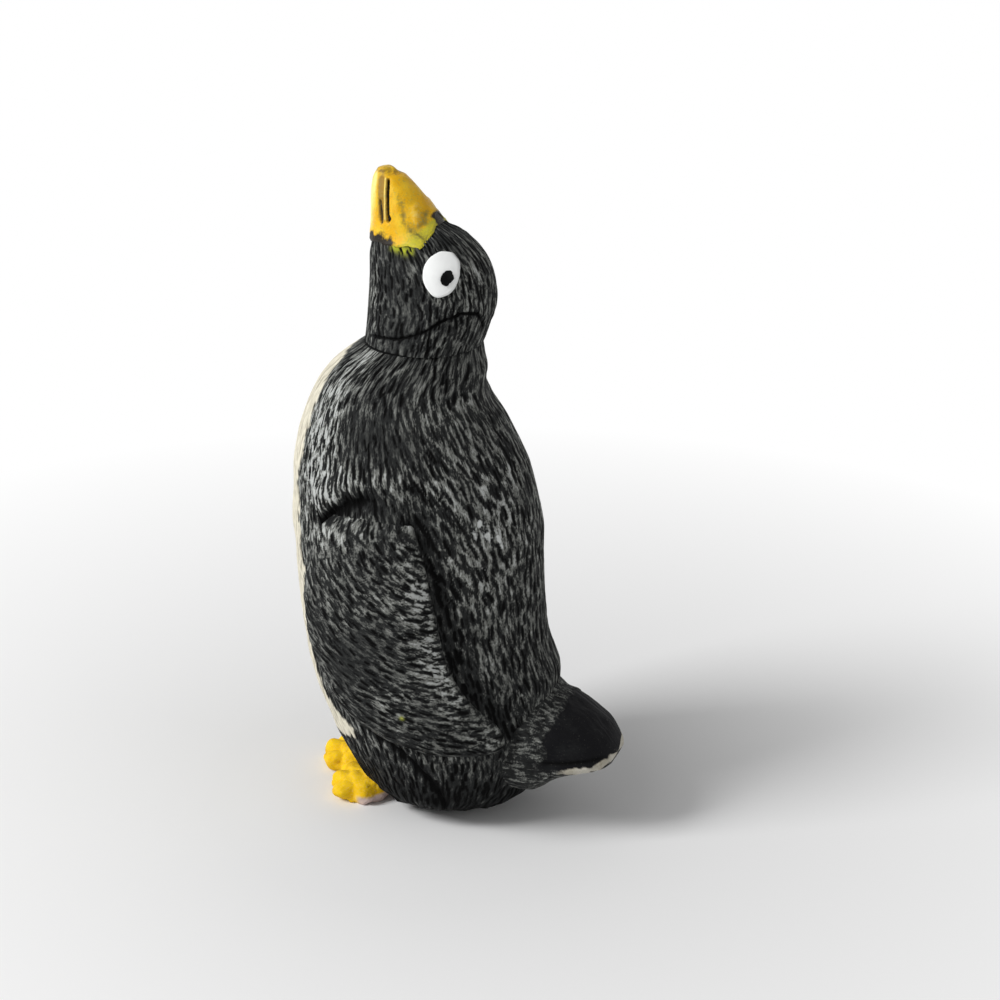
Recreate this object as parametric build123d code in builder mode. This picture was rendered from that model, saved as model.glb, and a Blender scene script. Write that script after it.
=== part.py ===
"""Penguin figurine, 60 mm tall, looking up.

A small hand-painted figurine made of separately moulded pieces: a torso with two flippers, a
tail and two feet bonded into seats, and a head that turns on a snap plug in the neck.
Millimetres. +Z is up, the penguin faces -Y and its left side is +X. The origin lies on the
flat underside, below the axis of the neck.
"""

from build123d import *
from math import atan2, cos, hypot, pi, radians, sin
import os

os.makedirs("parts", exist_ok=True)

# Torso: height of the neck seam, and the largest reach from the neck axis to each side
neck_seam_height = 44.4
chest_reach = 12.2
back_reach = 10.8
flank_reach = 9.8

# Head: height above the seam, and its largest reach from the neck axis to each side
head_height = 10.8
throat_reach = 4.75
nape_reach = 6.5
cheek_reach = 4.8

# Neck joint: a shank with a snap bulb below the head, in a socket in the torso
neck_gap = 0.15
shank_radius = 2.3
shank_length = 3.2
bulb_swell = 0.5
bulb_length = 2.2
nose_length = 0.3
neck_clearance = 0.06
socket_end_gap = 0.3

# Beak: its height above the front of its seat, the corner of the seat behind the gape, its peg,
# and the groove of the gape on each side
beak_height = 6.4
beak_lip = 0.2
beak_corner_rise_share = 0.05
beak_corner_reach_share = 0.30
beak_corner_radius = 0.5
beak_back_lean = 10.0
beak_peg_radius = 1.1
beak_peg_length = 2.2
beak_peg_forward_share = 0.30
gape_width = 0.45
gape_floor_share = 0.62
gape_setback_share = 0.52

# Eyes: oval buttons whose face follows the head, each with a bead for a pupil
eye_half_width = 1.37
eye_half_height = 1.93
eye_proud = 0.25
eye_pocket_depth = 1.2
eye_side_share = 0.90
eye_back_share = 0.49
eye_height_share = 0.67
eye_turn = 88.0
eye_tilt = 16.0
pupil_half_width = 0.48
pupil_half_height = 0.62
pupil_proud = 0.25
pupil_depth = 0.7
pupil_back_share = 0.40
pupil_drop_share = 0.13

# Flippers
flipper_thickness = 1.35
flipper_seat_depth = 0.9
flipper_peg_radius = 1.2
flipper_peg_length = 2.4
flipper_peg_height_share = 0.59
flipper_peg_angle = 80.0

# Tail: how far it stands out behind the torso, half its width, the rise of its back and the
# drop of its underside from its side edges, and the height of these edges
tail_length = 7.5
tail_root_share = 0.69
tail_half_width = 5.9
tail_rise = 5.8
tail_drop = 3.9
tail_height_share = 0.163

# Feet and the thighs above them
foot_length = 5.8
foot_heel_radius = 1.5
foot_web_thickness = 1.6
foot_edge_radius = 0.5
toe_radius = 1.2
toe_bone_radius = 1.0
toe_spread = 1.5
toe_splay = 14.0
left_foot_side_share = 0.255
left_foot_reach_share = 0.665
right_foot_side_share = 0.195
right_foot_reach_share = 0.91
ankle_radius = 1.0
ankle_height = 4.0
thigh_radius = 3.3
thigh_foot_radius = 2.2
thigh_height_share = 0.18
thigh_lean_share = 0.13

# Fit of the pegs of bonded pieces, and the overrun of cuts
peg_clearance = 0.05
overrun = 2.0

# Torso slices from the ground to the neck seam: height as a share of the seam's height, then
# front, back and side reach as shares of chest, back and flank
torso_shares = [
    (0.000, 0.200, 0.480, 0.330),
    (0.020, 0.350, 0.690, 0.490),
    (0.045, 0.470, 0.860, 0.640),
    (0.113, 0.620, 1.060, 0.810),
    (0.203, 0.770, 1.160, 0.925),
    (0.293, 0.875, 1.120, 0.980),
    (0.405, 0.940, 1.025, 1.000),
    (0.540, 0.985, 0.990, 1.000),
    (0.653, 1.000, 0.965, 0.985),
    (0.766, 0.970, 0.840, 0.925),
    (0.856, 0.880, 0.630, 0.800),
    (0.923, 0.755, 0.500, 0.670),
    (0.968, 0.600, 0.490, 0.575),
    (1.000, 0.430, 0.480, 0.525),
]

# Head slices, tilted back as they rise: height of the front and of the back edge as shares of
# the head's height, then front, back and side reach as shares of throat, nape and cheek
head_shares = [
    (0.000, 0.000, 1.090, 0.800, 1.050),
    (0.120, 0.145, 1.045, 0.890, 1.030),
    (0.270, 0.335, 1.010, 0.975, 1.010),
    (0.430, 0.525, 0.990, 0.965, 0.990),
    (0.590, 0.710, 0.980, 0.835, 0.920),
    (0.710, 0.860, 0.970, 0.585, 0.760),
    (0.800, 0.970, 0.960, 0.280, 0.540),
]
widest_share = 0.60

# Beak slices above its seat, in the same way: heights as shares of the beak's height above the
# front of its seat, and reaches as shares of throat, nape and cheek
beak_shares = [
    (0.300, 0.470, 0.963, 0.150, 0.500),
    (0.600, 0.735, 0.958, -0.090, 0.370),
    (0.830, 0.908, 0.930, -0.255, 0.240),
    (0.963, 1.000, 0.830, -0.340, 0.130),
]

# Flipper slices: height as a share of the neck seam's height, the front and the rear edge as
# angles in degrees round the torso from the front, and the thickness as a share
flipper_shares = [
    (0.198, 104.0, 131.0, 0.30),
    (0.210, 95.0, 136.0, 0.58),
    (0.230, 81.0, 138.0, 0.76),
    (0.260, 64.0, 136.0, 0.90),
    (0.310, 53.0, 127.0, 1.00),
    (0.380, 46.0, 120.0, 1.03),
    (0.460, 44.0, 117.0, 1.05),
    (0.550, 49.0, 114.0, 1.03),
    (0.630, 57.0, 111.0, 0.95),
    (0.685, 66.0, 108.0, 0.70),
    (0.714, 74.0, 105.0, 0.42),
    (0.728, 80.0, 103.0, 0.20),
]
flipper_points = 16

# Tail slices: place as a share of the way from root to tip, then half width, rise and drop as
# shares of the largest
tail_shares = [
    (0.00, 0.95, 1.00, 1.00),
    (0.40, 1.00, 1.04, 0.95),
    (0.58, 0.94, 0.88, 0.52),
    (0.78, 0.79, 0.64, 0.18),
    (0.91, 0.61, 0.42, 0.09),
    (0.98, 0.44, 0.25, 0.06),
    (1.00, 0.34, 0.17, 0.04),
]


def torso_reaches(height_share):
    """Front, back and side reach of the torso, read between the slices on either side."""
    for low, high in zip(torso_shares, torso_shares[1:]):
        if low[0] <= height_share <= high[0]:
            part = (height_share - low[0]) / (high[0] - low[0])
            front, back, side = (a + part * (b - a) for a, b in zip(low[1:], high[1:]))
            return front * chest_reach, back * back_reach, side * flank_reach


def torso_point(height_share, angle, lift):
    """A point at an angle round the torso from the front, lifted off its skin."""
    front, back, side = torso_reaches(height_share)
    half = (front + back) / 2
    across = half * sin(angle)
    along = -side * cos(angle)
    size = hypot(across, along)
    x = side * sin(angle) + lift * across / size
    y = (back - front) / 2 - half * cos(angle) + lift * along / size
    return x, y


def tilted_slice(row, base, rise):
    """Plane of a slice of the head or beak, with its half depth and its half width."""
    low, high, front, back, side = row
    front_y, front_z = -front * throat_reach, base + low * rise
    back_y, back_z = back * nape_reach, base + high * rise
    tilt = atan2(back_z - front_z, back_y - front_y)
    plane = Plane(
        origin=(0, (front_y + back_y) / 2, (front_z + back_z) / 2),
        x_dir=(1, 0, 0),
        z_dir=(0, -sin(tilt), cos(tilt)),
    )
    return plane, hypot(back_y - front_y, back_z - front_z) / 2, side * cheek_reach


head_base = neck_seam_height + neck_gap
head_slices = [tilted_slice(row, head_base, head_height) for row in head_shares]
beak_base = head_base + head_shares[-1][0] * head_height
beak_slices = [tilted_slice(row, beak_base, beak_height) for row in beak_shares]
beak_corner_z = beak_base + beak_corner_rise_share * head_height
beak_corner_y = beak_corner_reach_share * nape_reach
gape_y = (gape_setback_share - 1) * throat_reach


peg_angle = radians(flipper_peg_angle)
peg_outer = torso_point(flipper_peg_height_share, peg_angle, 0)
peg_depth = flipper_seat_depth + flipper_peg_length
peg_inner = torso_point(flipper_peg_height_share, peg_angle, -peg_depth)
flipper_peg = Plane(
    origin=(*peg_inner, flipper_peg_height_share * neck_seam_height),
    z_dir=(peg_outer[0] - peg_inner[0], peg_outer[1] - peg_inner[1], 0),
)

# Flipper, left: slices that wrap round the torso, thick in the middle and thin at both edges
with BuildPart() as left_flipper:
    for height_share, front_angle, rear_angle, thickness_share in flipper_shares:
        middle_angle = radians(rear_angle + front_angle) / 2
        half_angle = radians(rear_angle - front_angle) / 2
        outline = []
        for i in range(flipper_points):
            turn = 2 * pi * i / flipper_points
            depth = flipper_thickness if sin(turn) > 0 else flipper_seat_depth
            lift = thickness_share * depth * sin(turn)
            outline.append(torso_point(height_share, middle_angle + half_angle * cos(turn), lift))
        with BuildSketch(Plane.XY.offset(height_share * neck_seam_height)):
            with BuildLine():
                Spline(*outline, periodic=True)
            make_face()
    loft()
    with BuildSketch(flipper_peg):
        Circle(flipper_peg_radius)
    extrude(amount=peg_depth)
left_flipper.part.label = "left_flipper"
export_step(left_flipper.part, "parts/left_flipper.step")

with BuildPart() as right_flipper:
    mirror(left_flipper.part, about=Plane.YZ)
right_flipper.part.label = "right_flipper"
export_step(right_flipper.part, "parts/right_flipper.step")

# Tail: a wedge with a high back and a flat underside, its root buried in the torso
tail_root = tail_root_share * back_reach
tail_height = tail_height_share * neck_seam_height
with BuildPart() as tail:
    for place_share, width_share, rise_share, drop_share in tail_shares:
        place = tail_root + place_share * (back_reach + tail_length - tail_root)
        width = width_share * tail_half_width
        rise, drop = rise_share * tail_rise, drop_share * tail_drop
        with BuildSketch(Plane(origin=(0, place, tail_height), x_dir=(1, 0, 0), z_dir=(0, -1, 0))):
            with BuildLine():
                for start_angle, reach in ((0, rise), (180, drop)):
                    EllipticalCenterArc((0, 0), width, reach, start_angle, arc_size=180)
            make_face()
    loft()
    for flipper in (left_flipper, right_flipper):
        add(flipper.part, mode=Mode.SUBTRACT)
tail.part.label = "tail"
export_step(tail.part, "parts/tail.step")


def sole_plane(side_share, reach_share, splay):
    """The plane of a sole, with its origin at the ankle and its X axis towards the toes."""
    turn = radians(splay)
    ankle = (side_share * flank_reach, foot_length - foot_heel_radius - reach_share * chest_reach)
    return Plane(origin=(*ankle, 0), x_dir=(sin(turn), -cos(turn), 0), z_dir=(0, 0, 1))


left_sole = sole_plane(left_foot_side_share, left_foot_reach_share, toe_splay / 2)
right_sole = sole_plane(-right_foot_side_share, right_foot_reach_share, -toe_splay / 2)


def foot_on(sole):
    """A foot: a web from heel to toes, three knobbly toes on it and an ankle peg."""
    toe_reach = foot_length - foot_heel_radius - toe_radius
    toes = [(toe_reach * cos(radians(k * toe_splay)), k * toe_spread) for k in (-1, 0, 1)]
    with BuildPart() as foot:
        with BuildSketch(sole):
            Circle(foot_heel_radius)
            with Locations(*toes):
                Circle(toe_radius)
            make_hull()
        extrude(amount=foot_web_thickness)
        fillet(foot.faces().sort_by(Axis.Z)[-1].edges(), foot_edge_radius)
        with Locations(sole.offset(toe_radius)):
            with Locations(*toes):
                Sphere(toe_radius)
        for toe in toes:
            bone_start = sole.from_local_coords((0, 0, toe_bone_radius))
            bone_end = sole.from_local_coords((*toe, toe_radius))
            with BuildSketch(Plane(origin=bone_start, z_dir=bone_end - bone_start)):
                Circle(toe_bone_radius)
            extrude(amount=(bone_end - bone_start).length)
        with BuildSketch(sole):
            Circle(ankle_radius)
        extrude(amount=ankle_height)
    return foot.part


left_foot = foot_on(left_sole)
left_foot.label = "left_foot"
export_step(left_foot, "parts/left_foot.step")

right_foot = foot_on(right_sole)
right_foot.label = "right_foot"
export_step(right_foot, "parts/right_foot.step")


def neck_plug(clearance=0, end_gap=0):
    """The shank, the snap bulb and the nose below the head, or their socket, as one turning."""
    shank = shank_radius + clearance
    bulb_start = neck_seam_height - shank_length
    bulb_end = bulb_start - bulb_length
    nose_end = bulb_end - nose_length - end_gap
    with BuildPart() as plug:
        with BuildSketch(Plane.XZ):
            with BuildLine():
                Polyline(
                    (shank, bulb_start),
                    (shank, head_base),
                    (0, head_base),
                    (0, nose_end),
                    (shank, nose_end),
                    (shank, bulb_end),
                )
                ThreePointArc(
                    (shank, bulb_end),
                    (shank + bulb_swell, (bulb_start + bulb_end) / 2),
                    (shank, bulb_start),
                )
            make_face()
        revolve(axis=Axis.Z)
    return plug.part


# Torso: oval slices with a thigh above each foot, the seats and the neck socket
with BuildPart() as body:
    for height_share, *_ in torso_shares:
        front, back, side = torso_reaches(height_share)
        with BuildSketch(Plane.XY.offset(height_share * neck_seam_height)):
            with Locations((0, (back - front) / 2)):
                Ellipse(side, (back + front) / 2)
    loft()
    for sole in (left_sole, right_sole):
        with BuildSketch(sole.offset(foot_web_thickness)):
            Circle(thigh_foot_radius)
        with BuildSketch(sole.offset(thigh_height_share * neck_seam_height)):
            with Locations((-thigh_lean_share * chest_reach, 0)):
                Circle(thigh_radius)
        loft()
    for sole in (left_sole, right_sole):
        with BuildSketch(sole):
            Circle(ankle_radius + peg_clearance)
        extrude(amount=ankle_height + peg_clearance, mode=Mode.SUBTRACT)
    for piece in (left_foot, right_foot, left_flipper.part, right_flipper.part, tail.part):
        add(piece, mode=Mode.SUBTRACT)
    add(neck_plug(neck_clearance, socket_end_gap), mode=Mode.SUBTRACT)
body.part.label = "body"
export_step(body.part, "parts/body.step")


def egg_loft(slices, grow=0):
    """A loft through slices that are widest behind their middle, each grown outwards."""
    with BuildPart() as form:
        for plane, half, side in slices:
            widest = half * (2 * widest_share - 1)
            with BuildSketch(plane):
                with BuildLine():
                    for start_angle, reach in ((0, half - widest), (180, half + widest)):
                        EllipticalCenterArc(
                            (0, widest), side + grow, reach + grow, start_angle, arc_size=180
                        )
                make_face()
        loft()
    return form.part


# Eye, left: a button cut from a slightly larger head, so that its face follows the skin
turn = radians(eye_turn)
tilt = radians(eye_tilt)
eye_seat = Plane(
    origin=(
        eye_side_share * cheek_reach,
        eye_back_share * nape_reach,
        head_base + eye_height_share * head_height,
    ),
    x_dir=(cos(turn), sin(turn), 0),
    z_dir=(cos(tilt) * sin(turn), -cos(tilt) * cos(turn), sin(tilt)),
)

with BuildPart() as left_pupil:
    add(egg_loft(head_slices, eye_proud + pupil_proud))
    with BuildSketch(eye_seat.offset(-pupil_depth)):
        with Locations((pupil_back_share * eye_half_width, -pupil_drop_share * eye_half_height)):
            Ellipse(pupil_half_width, pupil_half_height)
    extrude(amount=pupil_depth + overrun, mode=Mode.INTERSECT)
left_pupil.part.label = "left_pupil"
export_step(left_pupil.part, "parts/left_pupil.step")

with BuildPart() as left_eye:
    add(egg_loft(head_slices, eye_proud))
    with BuildSketch(eye_seat.offset(-eye_pocket_depth)):
        Ellipse(eye_half_width, eye_half_height)
    extrude(amount=eye_pocket_depth + overrun, mode=Mode.INTERSECT)
    add(left_pupil.part, mode=Mode.SUBTRACT)
left_eye.part.label = "left_eye"
export_step(left_eye.part, "parts/left_eye.step")

with BuildPart() as right_eye:
    mirror(left_eye.part, about=Plane.YZ)
right_eye.part.label = "right_eye"
export_step(right_eye.part, "parts/right_eye.step")

with BuildPart() as right_pupil:
    mirror(left_pupil.part, about=Plane.YZ)
right_pupil.part.label = "right_pupil"
export_step(right_pupil.part, "parts/right_pupil.step")


def gape_corner(beak_slice):
    """Where the floor of the gape groove meets a slice of the beak, seen from the front."""
    plane, _, side = beak_slice
    rise = (plane.origin.Y - gape_y) * plane.z_dir.Y / plane.z_dir.Z
    return side * gape_floor_share, plane.origin.Z + rise


# Seat of the beak: all that lies below it along the sides, and behind its leaning rear edge
back_lean = radians(beak_back_lean)
with BuildPart() as below_beak:
    with BuildSketch(Plane.YZ) as seat_outline:
        with BuildLine():
            Polyline(
                (-throat_reach - overrun, beak_base),
                (-throat_reach, beak_base),
                (beak_corner_y, beak_corner_z),
                (beak_corner_y - beak_height * sin(back_lean), beak_corner_z + beak_height),
                (nape_reach + overrun, beak_corner_z + beak_height),
                (nape_reach + overrun, neck_seam_height),
                (-throat_reach - overrun, neck_seam_height),
                close=True,
            )
        make_face()
        corner = seat_outline.vertices().sort_by_distance((beak_corner_y, beak_corner_z))[0]
        fillet(corner, beak_corner_radius)
    extrude(amount=cheek_reach + overrun, both=True)

# Beak: lofted over the top of the skull to a blunt tip, with a gape groove on each side
rim_slices = [(plane, half + beak_lip, side + beak_lip) for plane, half, side in head_slices[-3:]]
gape_low, gape_high = gape_corner(beak_slices[0]), gape_corner(beak_slices[2])
with BuildPart() as beak:
    add(egg_loft(rim_slices + beak_slices))
    add(below_beak.part, mode=Mode.SUBTRACT)
    with BuildSketch(Plane.XY.offset(beak_base - beak_peg_length)):
        with Locations((0, -beak_peg_forward_share * throat_reach)):
            Circle(beak_peg_radius)
    extrude(amount=2 * beak_peg_length)
    with BuildSketch(Plane.XZ.offset(-gape_y)):
        with BuildLine():
            Polyline(
                gape_low, gape_high, (cheek_reach, gape_high[1]), (cheek_reach, gape_low[1]), close=True
            )
        make_face()
        mirror(about=Plane.YZ)
    extrude(amount=gape_width / 2, both=True, mode=Mode.SUBTRACT)
beak.part.label = "beak"
export_step(beak.part, "parts/beak.step")

# Head: the skull cut to the beak's seat, with its peg hole, the eye pockets and the snap plug
with BuildPart() as head:
    add(egg_loft(head_slices))
    add(below_beak.part, mode=Mode.INTERSECT)
    with BuildSketch(Plane.XY.offset(beak_base - beak_peg_length - peg_clearance)):
        with Locations((0, -beak_peg_forward_share * throat_reach)):
            Circle(beak_peg_radius + peg_clearance)
    extrude(amount=beak_peg_length + beak_corner_z - beak_base, mode=Mode.SUBTRACT)
    for piece in (left_eye, right_eye, left_pupil, right_pupil):
        add(piece.part, mode=Mode.SUBTRACT)
    add(neck_plug())
head.part.label = "head"
export_step(head.part, "parts/head.step")
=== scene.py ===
"""Penguin figurine, 60 mm tall, looking up: its hand-carved and hand-painted surfaces.

Every surface is a grid of points worked out from the same slices as the solids, then carved
with feather strokes and folds. Lengths inside the functions are in millimetres. +Z is up, the
penguin faces -Y and its left side is +X. A turn is an angle in degrees round the body from the
front, rising towards the left side.
"""

import math

import bpy
import numpy as np
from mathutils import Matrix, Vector


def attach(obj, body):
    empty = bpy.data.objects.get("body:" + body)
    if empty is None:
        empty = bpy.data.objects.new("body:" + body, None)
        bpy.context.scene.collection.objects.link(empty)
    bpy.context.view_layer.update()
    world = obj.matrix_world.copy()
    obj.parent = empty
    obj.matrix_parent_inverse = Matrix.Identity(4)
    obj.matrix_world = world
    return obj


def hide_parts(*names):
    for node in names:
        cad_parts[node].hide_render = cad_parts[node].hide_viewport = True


bl_info = {
    "name": "Penguin figurine",
    "version": (1, 0, 0),
    "blender": (4, 5, 0),
    "location": "3D View > Sidebar > Penguin",
    "description": "Carves and paints a small penguin figurine around its packed solids",
    "category": "Add Mesh",
}

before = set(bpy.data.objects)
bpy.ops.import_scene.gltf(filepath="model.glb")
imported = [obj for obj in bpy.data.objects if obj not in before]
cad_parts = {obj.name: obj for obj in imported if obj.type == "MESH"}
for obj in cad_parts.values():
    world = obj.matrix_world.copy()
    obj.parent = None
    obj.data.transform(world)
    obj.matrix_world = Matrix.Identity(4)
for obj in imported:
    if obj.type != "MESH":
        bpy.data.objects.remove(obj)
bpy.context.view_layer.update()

MM = 0.001
TORSO_ARC, HEAD_ARC = 10.0, 5.2  # mm along the skin for a radian of turn
MEAN_RELIEF = 0.7  # the height that the strokes leave on average

# Torso: height of the neck's seam, and the farthest reach to the front, back and side.
# The rows are a height share and the share of each reach there.
SEAM = 44.4
CHEST, BACK, FLANK = 12.2, 10.8, 9.8
TORSO = np.array(
    [
        (0.000, 0.200, 0.480, 0.330), (0.020, 0.350, 0.690, 0.490), (0.045, 0.470, 0.860, 0.640),
        (0.113, 0.620, 1.060, 0.810), (0.203, 0.770, 1.160, 0.925), (0.293, 0.875, 1.120, 0.980),
        (0.405, 0.940, 1.025, 1.000), (0.540, 0.985, 0.990, 1.000), (0.653, 1.000, 0.965, 0.985),
        (0.766, 0.970, 0.840, 0.925), (0.856, 0.880, 0.630, 0.800), (0.923, 0.755, 0.500, 0.670),
        (0.968, 0.600, 0.490, 0.575), (1.000, 0.430, 0.480, 0.525),
    ]
) * (1, CHEST, BACK, FLANK)

# Head and beak: each slice is tilted. The rows are the height share of its front and of its
# back, and then its reach to the front, back and side.
HEAD_BASE = SEAM + 0.15
HEAD_HEIGHT = 10.8
THROAT, NAPE, CHEEK = 4.75, 6.5, 4.8
WIDEST = 0.60  # where a slice is widest, as a share of its depth
HEAD = [
    (0.000, 0.000, 1.090, 0.800, 1.050),
    (0.120, 0.145, 1.045, 0.890, 1.030),
    (0.270, 0.335, 1.010, 0.975, 1.010),
    (0.430, 0.525, 0.990, 0.965, 0.990),
    (0.590, 0.710, 0.980, 0.835, 0.920),
    (0.710, 0.860, 0.970, 0.585, 0.760),
    (0.800, 0.970, 0.960, 0.280, 0.540),
]
BEAK_BASE = HEAD_BASE + 0.8 * HEAD_HEIGHT
BEAK_HEIGHT = 6.4
BEAK_LIP = 0.2
BEAK = [
    (0.300, 0.470, 0.963, 0.150, 0.500),
    (0.600, 0.735, 0.958, -0.090, 0.370),
    (0.830, 0.908, 0.930, -0.255, 0.240),
    (0.963, 1.000, 0.830, -0.340, 0.130),
]
CAP_BELOW = 3  # slices of the head that the beak covers
LINING_GAP = 0.04
HEAD_DROP, TORSO_RISE = 0.06, 0.05  # how far the two edges reach into the seam of the neck

# Neck plug and socket, as radius and height
PLUG = [(2.3, 38.7), (2.3, 39.0), (2.65, 39.4), (2.8, 40.1), (2.65, 40.8), (2.3, 41.2), (2.3, HEAD_BASE)]
SOCKET_CLEARANCE = 0.06
SOCKET_FLOOR = 38.4

# Flippers: the rows are a height share, the turns of the front and rear edge, and a thickness
FLIPPER_THICKNESS = 1.35
FLIPPER_DEPTH = 0.9
FLIPPER = np.array(
    [
        (0.198, 104.0, 131.0, 0.00), (0.210, 95.0, 136.0, 0.55), (0.230, 81.0, 138.0, 0.76),
        (0.260, 64.0, 136.0, 0.90), (0.310, 53.0, 127.0, 1.00), (0.380, 46.0, 120.0, 1.03),
        (0.460, 44.0, 117.0, 1.05), (0.550, 49.0, 114.0, 1.03), (0.630, 57.0, 111.0, 0.95),
        (0.685, 66.0, 108.0, 0.64), (0.714, 74.0, 105.0, 0.28), (0.728, 80.0, 103.0, 0.00),
    ]
)
STROKE_FALL = ([9, 12, 16, 20, 24, 28, 32], [20, 14, 16, 24, 34, 46, 58])  # heights and angles
SPECK = (1.85, 13.2)  # y and z of a drop of yellow on the left flipper

# Tail: the rows are a length share, and the width, the rise and the drop from its edge there
TAIL_ROOT, TAIL_TIP = 7.45, 18.3
TAIL_WIDTH, TAIL_RISE, TAIL_DROP, TAIL_EDGE = 5.9, 5.8, 3.9, 7.24
TAIL = np.array(
    [
        (0.00, 0.95, 1.00, 1.00), (0.40, 1.00, 1.04, 0.95), (0.58, 0.94, 0.88, 0.52),
        (0.78, 0.79, 0.64, 0.18), (0.91, 0.61, 0.42, 0.09), (0.98, 0.44, 0.25, 0.06),
        (1.00, 0.34, 0.17, 0.04),
    ]
)

# Feet: the middle of the ankle and the splay of each. A lump's row is its middle ahead, aside
# and up, and then half its length, width and height.
FEET = {"left_foot": (2.5, -3.81, 7.0), "right_foot": (-1.91, -6.80, -7.0)}
FOOT_MIDDLE = (1.8, 0.0, 1.0)
LUMPS = [
    (0.7, 0.0, 1.2, 1.7, 1.8, 1.65),
    (2.2, -0.1, 1.1, 1.8, 1.9, 1.35),
    (3.1, -1.5, 1.0, 1.4, 0.95, 1.20),
    (3.6, 0.1, 1.0, 1.3, 0.90, 1.15),
    (2.9, 1.5, 0.8, 1.4, 0.95, 1.00),
    (1.4, -1.5, 1.0, 1.1, 1.0, 1.20),
    (1.2, 1.5, 0.9, 1.1, 1.0, 1.10),
]
THIGH_LOW, THIGH_HIGH = 1.6, 8.0
THIGH_RADIUS, THIGH_SWELL = 1.55, 1.2
THIGH_BACK, THIGH_LEAN = 1.0, 1.431

# Eyes: the middle of the left one, and the turn and tilt of the way it looks
EYE_MIDDLE = np.array([4.32, 3.185, 51.79])
EYE_TURN, EYE_TILT = 88.0, 16.0
PUPIL_MIDDLE = (0.62, -0.23)  # towards the back and up, from the middle of the eye

# Lamps: to the right, towards the camera and up; distance and width in metres; watts
LAMPS = {"window": (-0.95, 0.35, 0.60, 0.5, 0.18, 2.3), "room": (0.90, 0.55, 0.45, 0.6, 0.45, 0.45)}
FLOOR_WHITE_FROM, FLOOR_WHITE_OVER = 20.0, 80.0  # mm from the figurine


def length(name, description, default):
    """A length that a user can change."""
    return bpy.props.FloatProperty(name=name, description=description, default=default, unit="LENGTH")


def colour(name, description, default):
    """A colour that a user can change."""
    return bpy.props.FloatVectorProperty(
        name=name, description=description, default=default, size=3, subtype="COLOR", min=0, max=1
    )


class PenguinSizes(bpy.types.PropertyGroup):
    """Sizes of the carving."""

    feather_width: length("Feather width", "Distance between two carved strokes", 0.00060)
    feather_length: length("Feather length", "Length of a carved stroke", 0.0014)
    feather_depth: length("Feather depth", "Depth of the grooves between strokes", 0.00013)
    belly_share: bpy.props.FloatProperty(
        name="Belly depth", description="Depth of the belly's strokes as a share", default=0.55, subtype="FACTOR"
    )
    shoulder_bulge: length("Shoulder bulge", "Swelling above each flipper", 0.0006)
    crease_depth: length("Crease depth", "Depth of the fold above each flipper", 0.00055)
    eye_width: length("Eye width", "Half the width of an eye", 0.00136)
    eye_height: length("Eye height", "Half the height of an eye", 0.00192)
    pupil_radius: length("Pupil radius", "Half the height of a pupil", 0.00062)


class PenguinPaints(bpy.types.PropertyGroup):
    """Colours of the paint."""

    wash: colour("Wash", "Black paint that settled in the grooves", (0.003, 0.003, 0.003))
    charcoal: colour("Charcoal", "Ground coat of the feathers", (0.021, 0.022, 0.022))
    brushed: colour("Brushed grey", "Grey brushed over the raised strokes", (0.185, 0.190, 0.176))
    # Also the colour of painted glints on the brightest brushed strokes.
    worn: colour("Bare and glint", "Bare pale spots", (0.62, 0.64, 0.63))
    slip: colour("Slip", "Yellow that slipped onto the feathers", (0.42, 0.45, 0.03))
    cream: colour("Cream", "Paint of the belly", (0.72, 0.68, 0.56))
    cream_wash: colour("Cream wash", "Belly grooves", (0.34, 0.31, 0.24))
    tail_black: colour("Tail black", "Top of the tail", (0.007, 0.007, 0.008))
    tail_rim: colour("Tail rim", "Pale rim of the tail", (0.66, 0.64, 0.58))
    beak_yellow: colour("Beak yellow", "Ground coat of the beak", (0.74, 0.40, 0.006))
    beak_light: colour("Beak light", "Lighter brush marks on the beak", (0.84, 0.58, 0.035))
    beak_lemon: colour("Beak lemon", "Thin yellow at the beak's rear", (0.48, 0.46, 0.035))
    # Painted highlight along the front edge, the ridge and the nub of the beak.
    beak_cream: colour("Beak cream", "Pale front edge of the beak", (0.92, 0.80, 0.28))
    # Between the slits it paints the shade of the sunken panel there.
    beak_ochre: colour("Beak ochre", "Ochre between the slits of the beak", (0.30, 0.17, 0.018))
    # Olive in a ring round the nostril's nub, along a shallow groove.
    beak_olive: colour("Beak olive", "Smudge round the nostril", (0.20, 0.16, 0.035))
    beak_wash: colour("Beak wash", "Dark wash on the beak", (0.014, 0.010, 0.006))
    foot_yellow: colour("Foot yellow", "Paint of the feet", (0.88, 0.56, 0.012))
    foot_shade: colour("Foot shade", "Hollows of the feet", (0.52, 0.25, 0.004))
    sole: colour("Sole", "Unpainted edge of the soles", (0.60, 0.47, 0.44))
    eye_white: colour("Eye white", "Paint of the eyes", (0.90, 0.91, 0.90))
    eye_shade: colour("Eye shade", "Greyer patches of the eyes", (0.55, 0.57, 0.58))
    pupil: colour("Pupil", "Bead of the pupils", (0.001, 0.001, 0.001))
    pupil_shade: colour("Pupil shade", "Lighter spots of the pupils", (0.004, 0.004, 0.005))
    floor: colour("Floor", "Colour of the floor", (0.80, 0.80, 0.80))


class PenguinStage(bpy.types.PropertyGroup):
    """The camera's place and the level of the light."""

    azimuth: bpy.props.FloatProperty(
        name="Azimuth", description="Turn of the camera from the front", default=math.radians(110), subtype="ANGLE"
    )
    elevation: bpy.props.FloatProperty(
        name="Elevation", description="Height angle of the camera", default=math.radians(22), subtype="ANGLE"
    )
    distance: length("Distance", "Distance of the camera from its aim", 0.2)
    aim: bpy.props.FloatVectorProperty(
        name="Aim", description="Point the camera looks at", default=(-0.0023, 0.0062, 0.0294), size=3, subtype="XYZ"
    )
    lens: bpy.props.FloatProperty(name="Lens", description="Focal length in millimetres", default=80.6)
    sky: bpy.props.FloatProperty(name="Sky", description="Strength of the light from all round", default=0.33)


# Shapes of values


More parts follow.
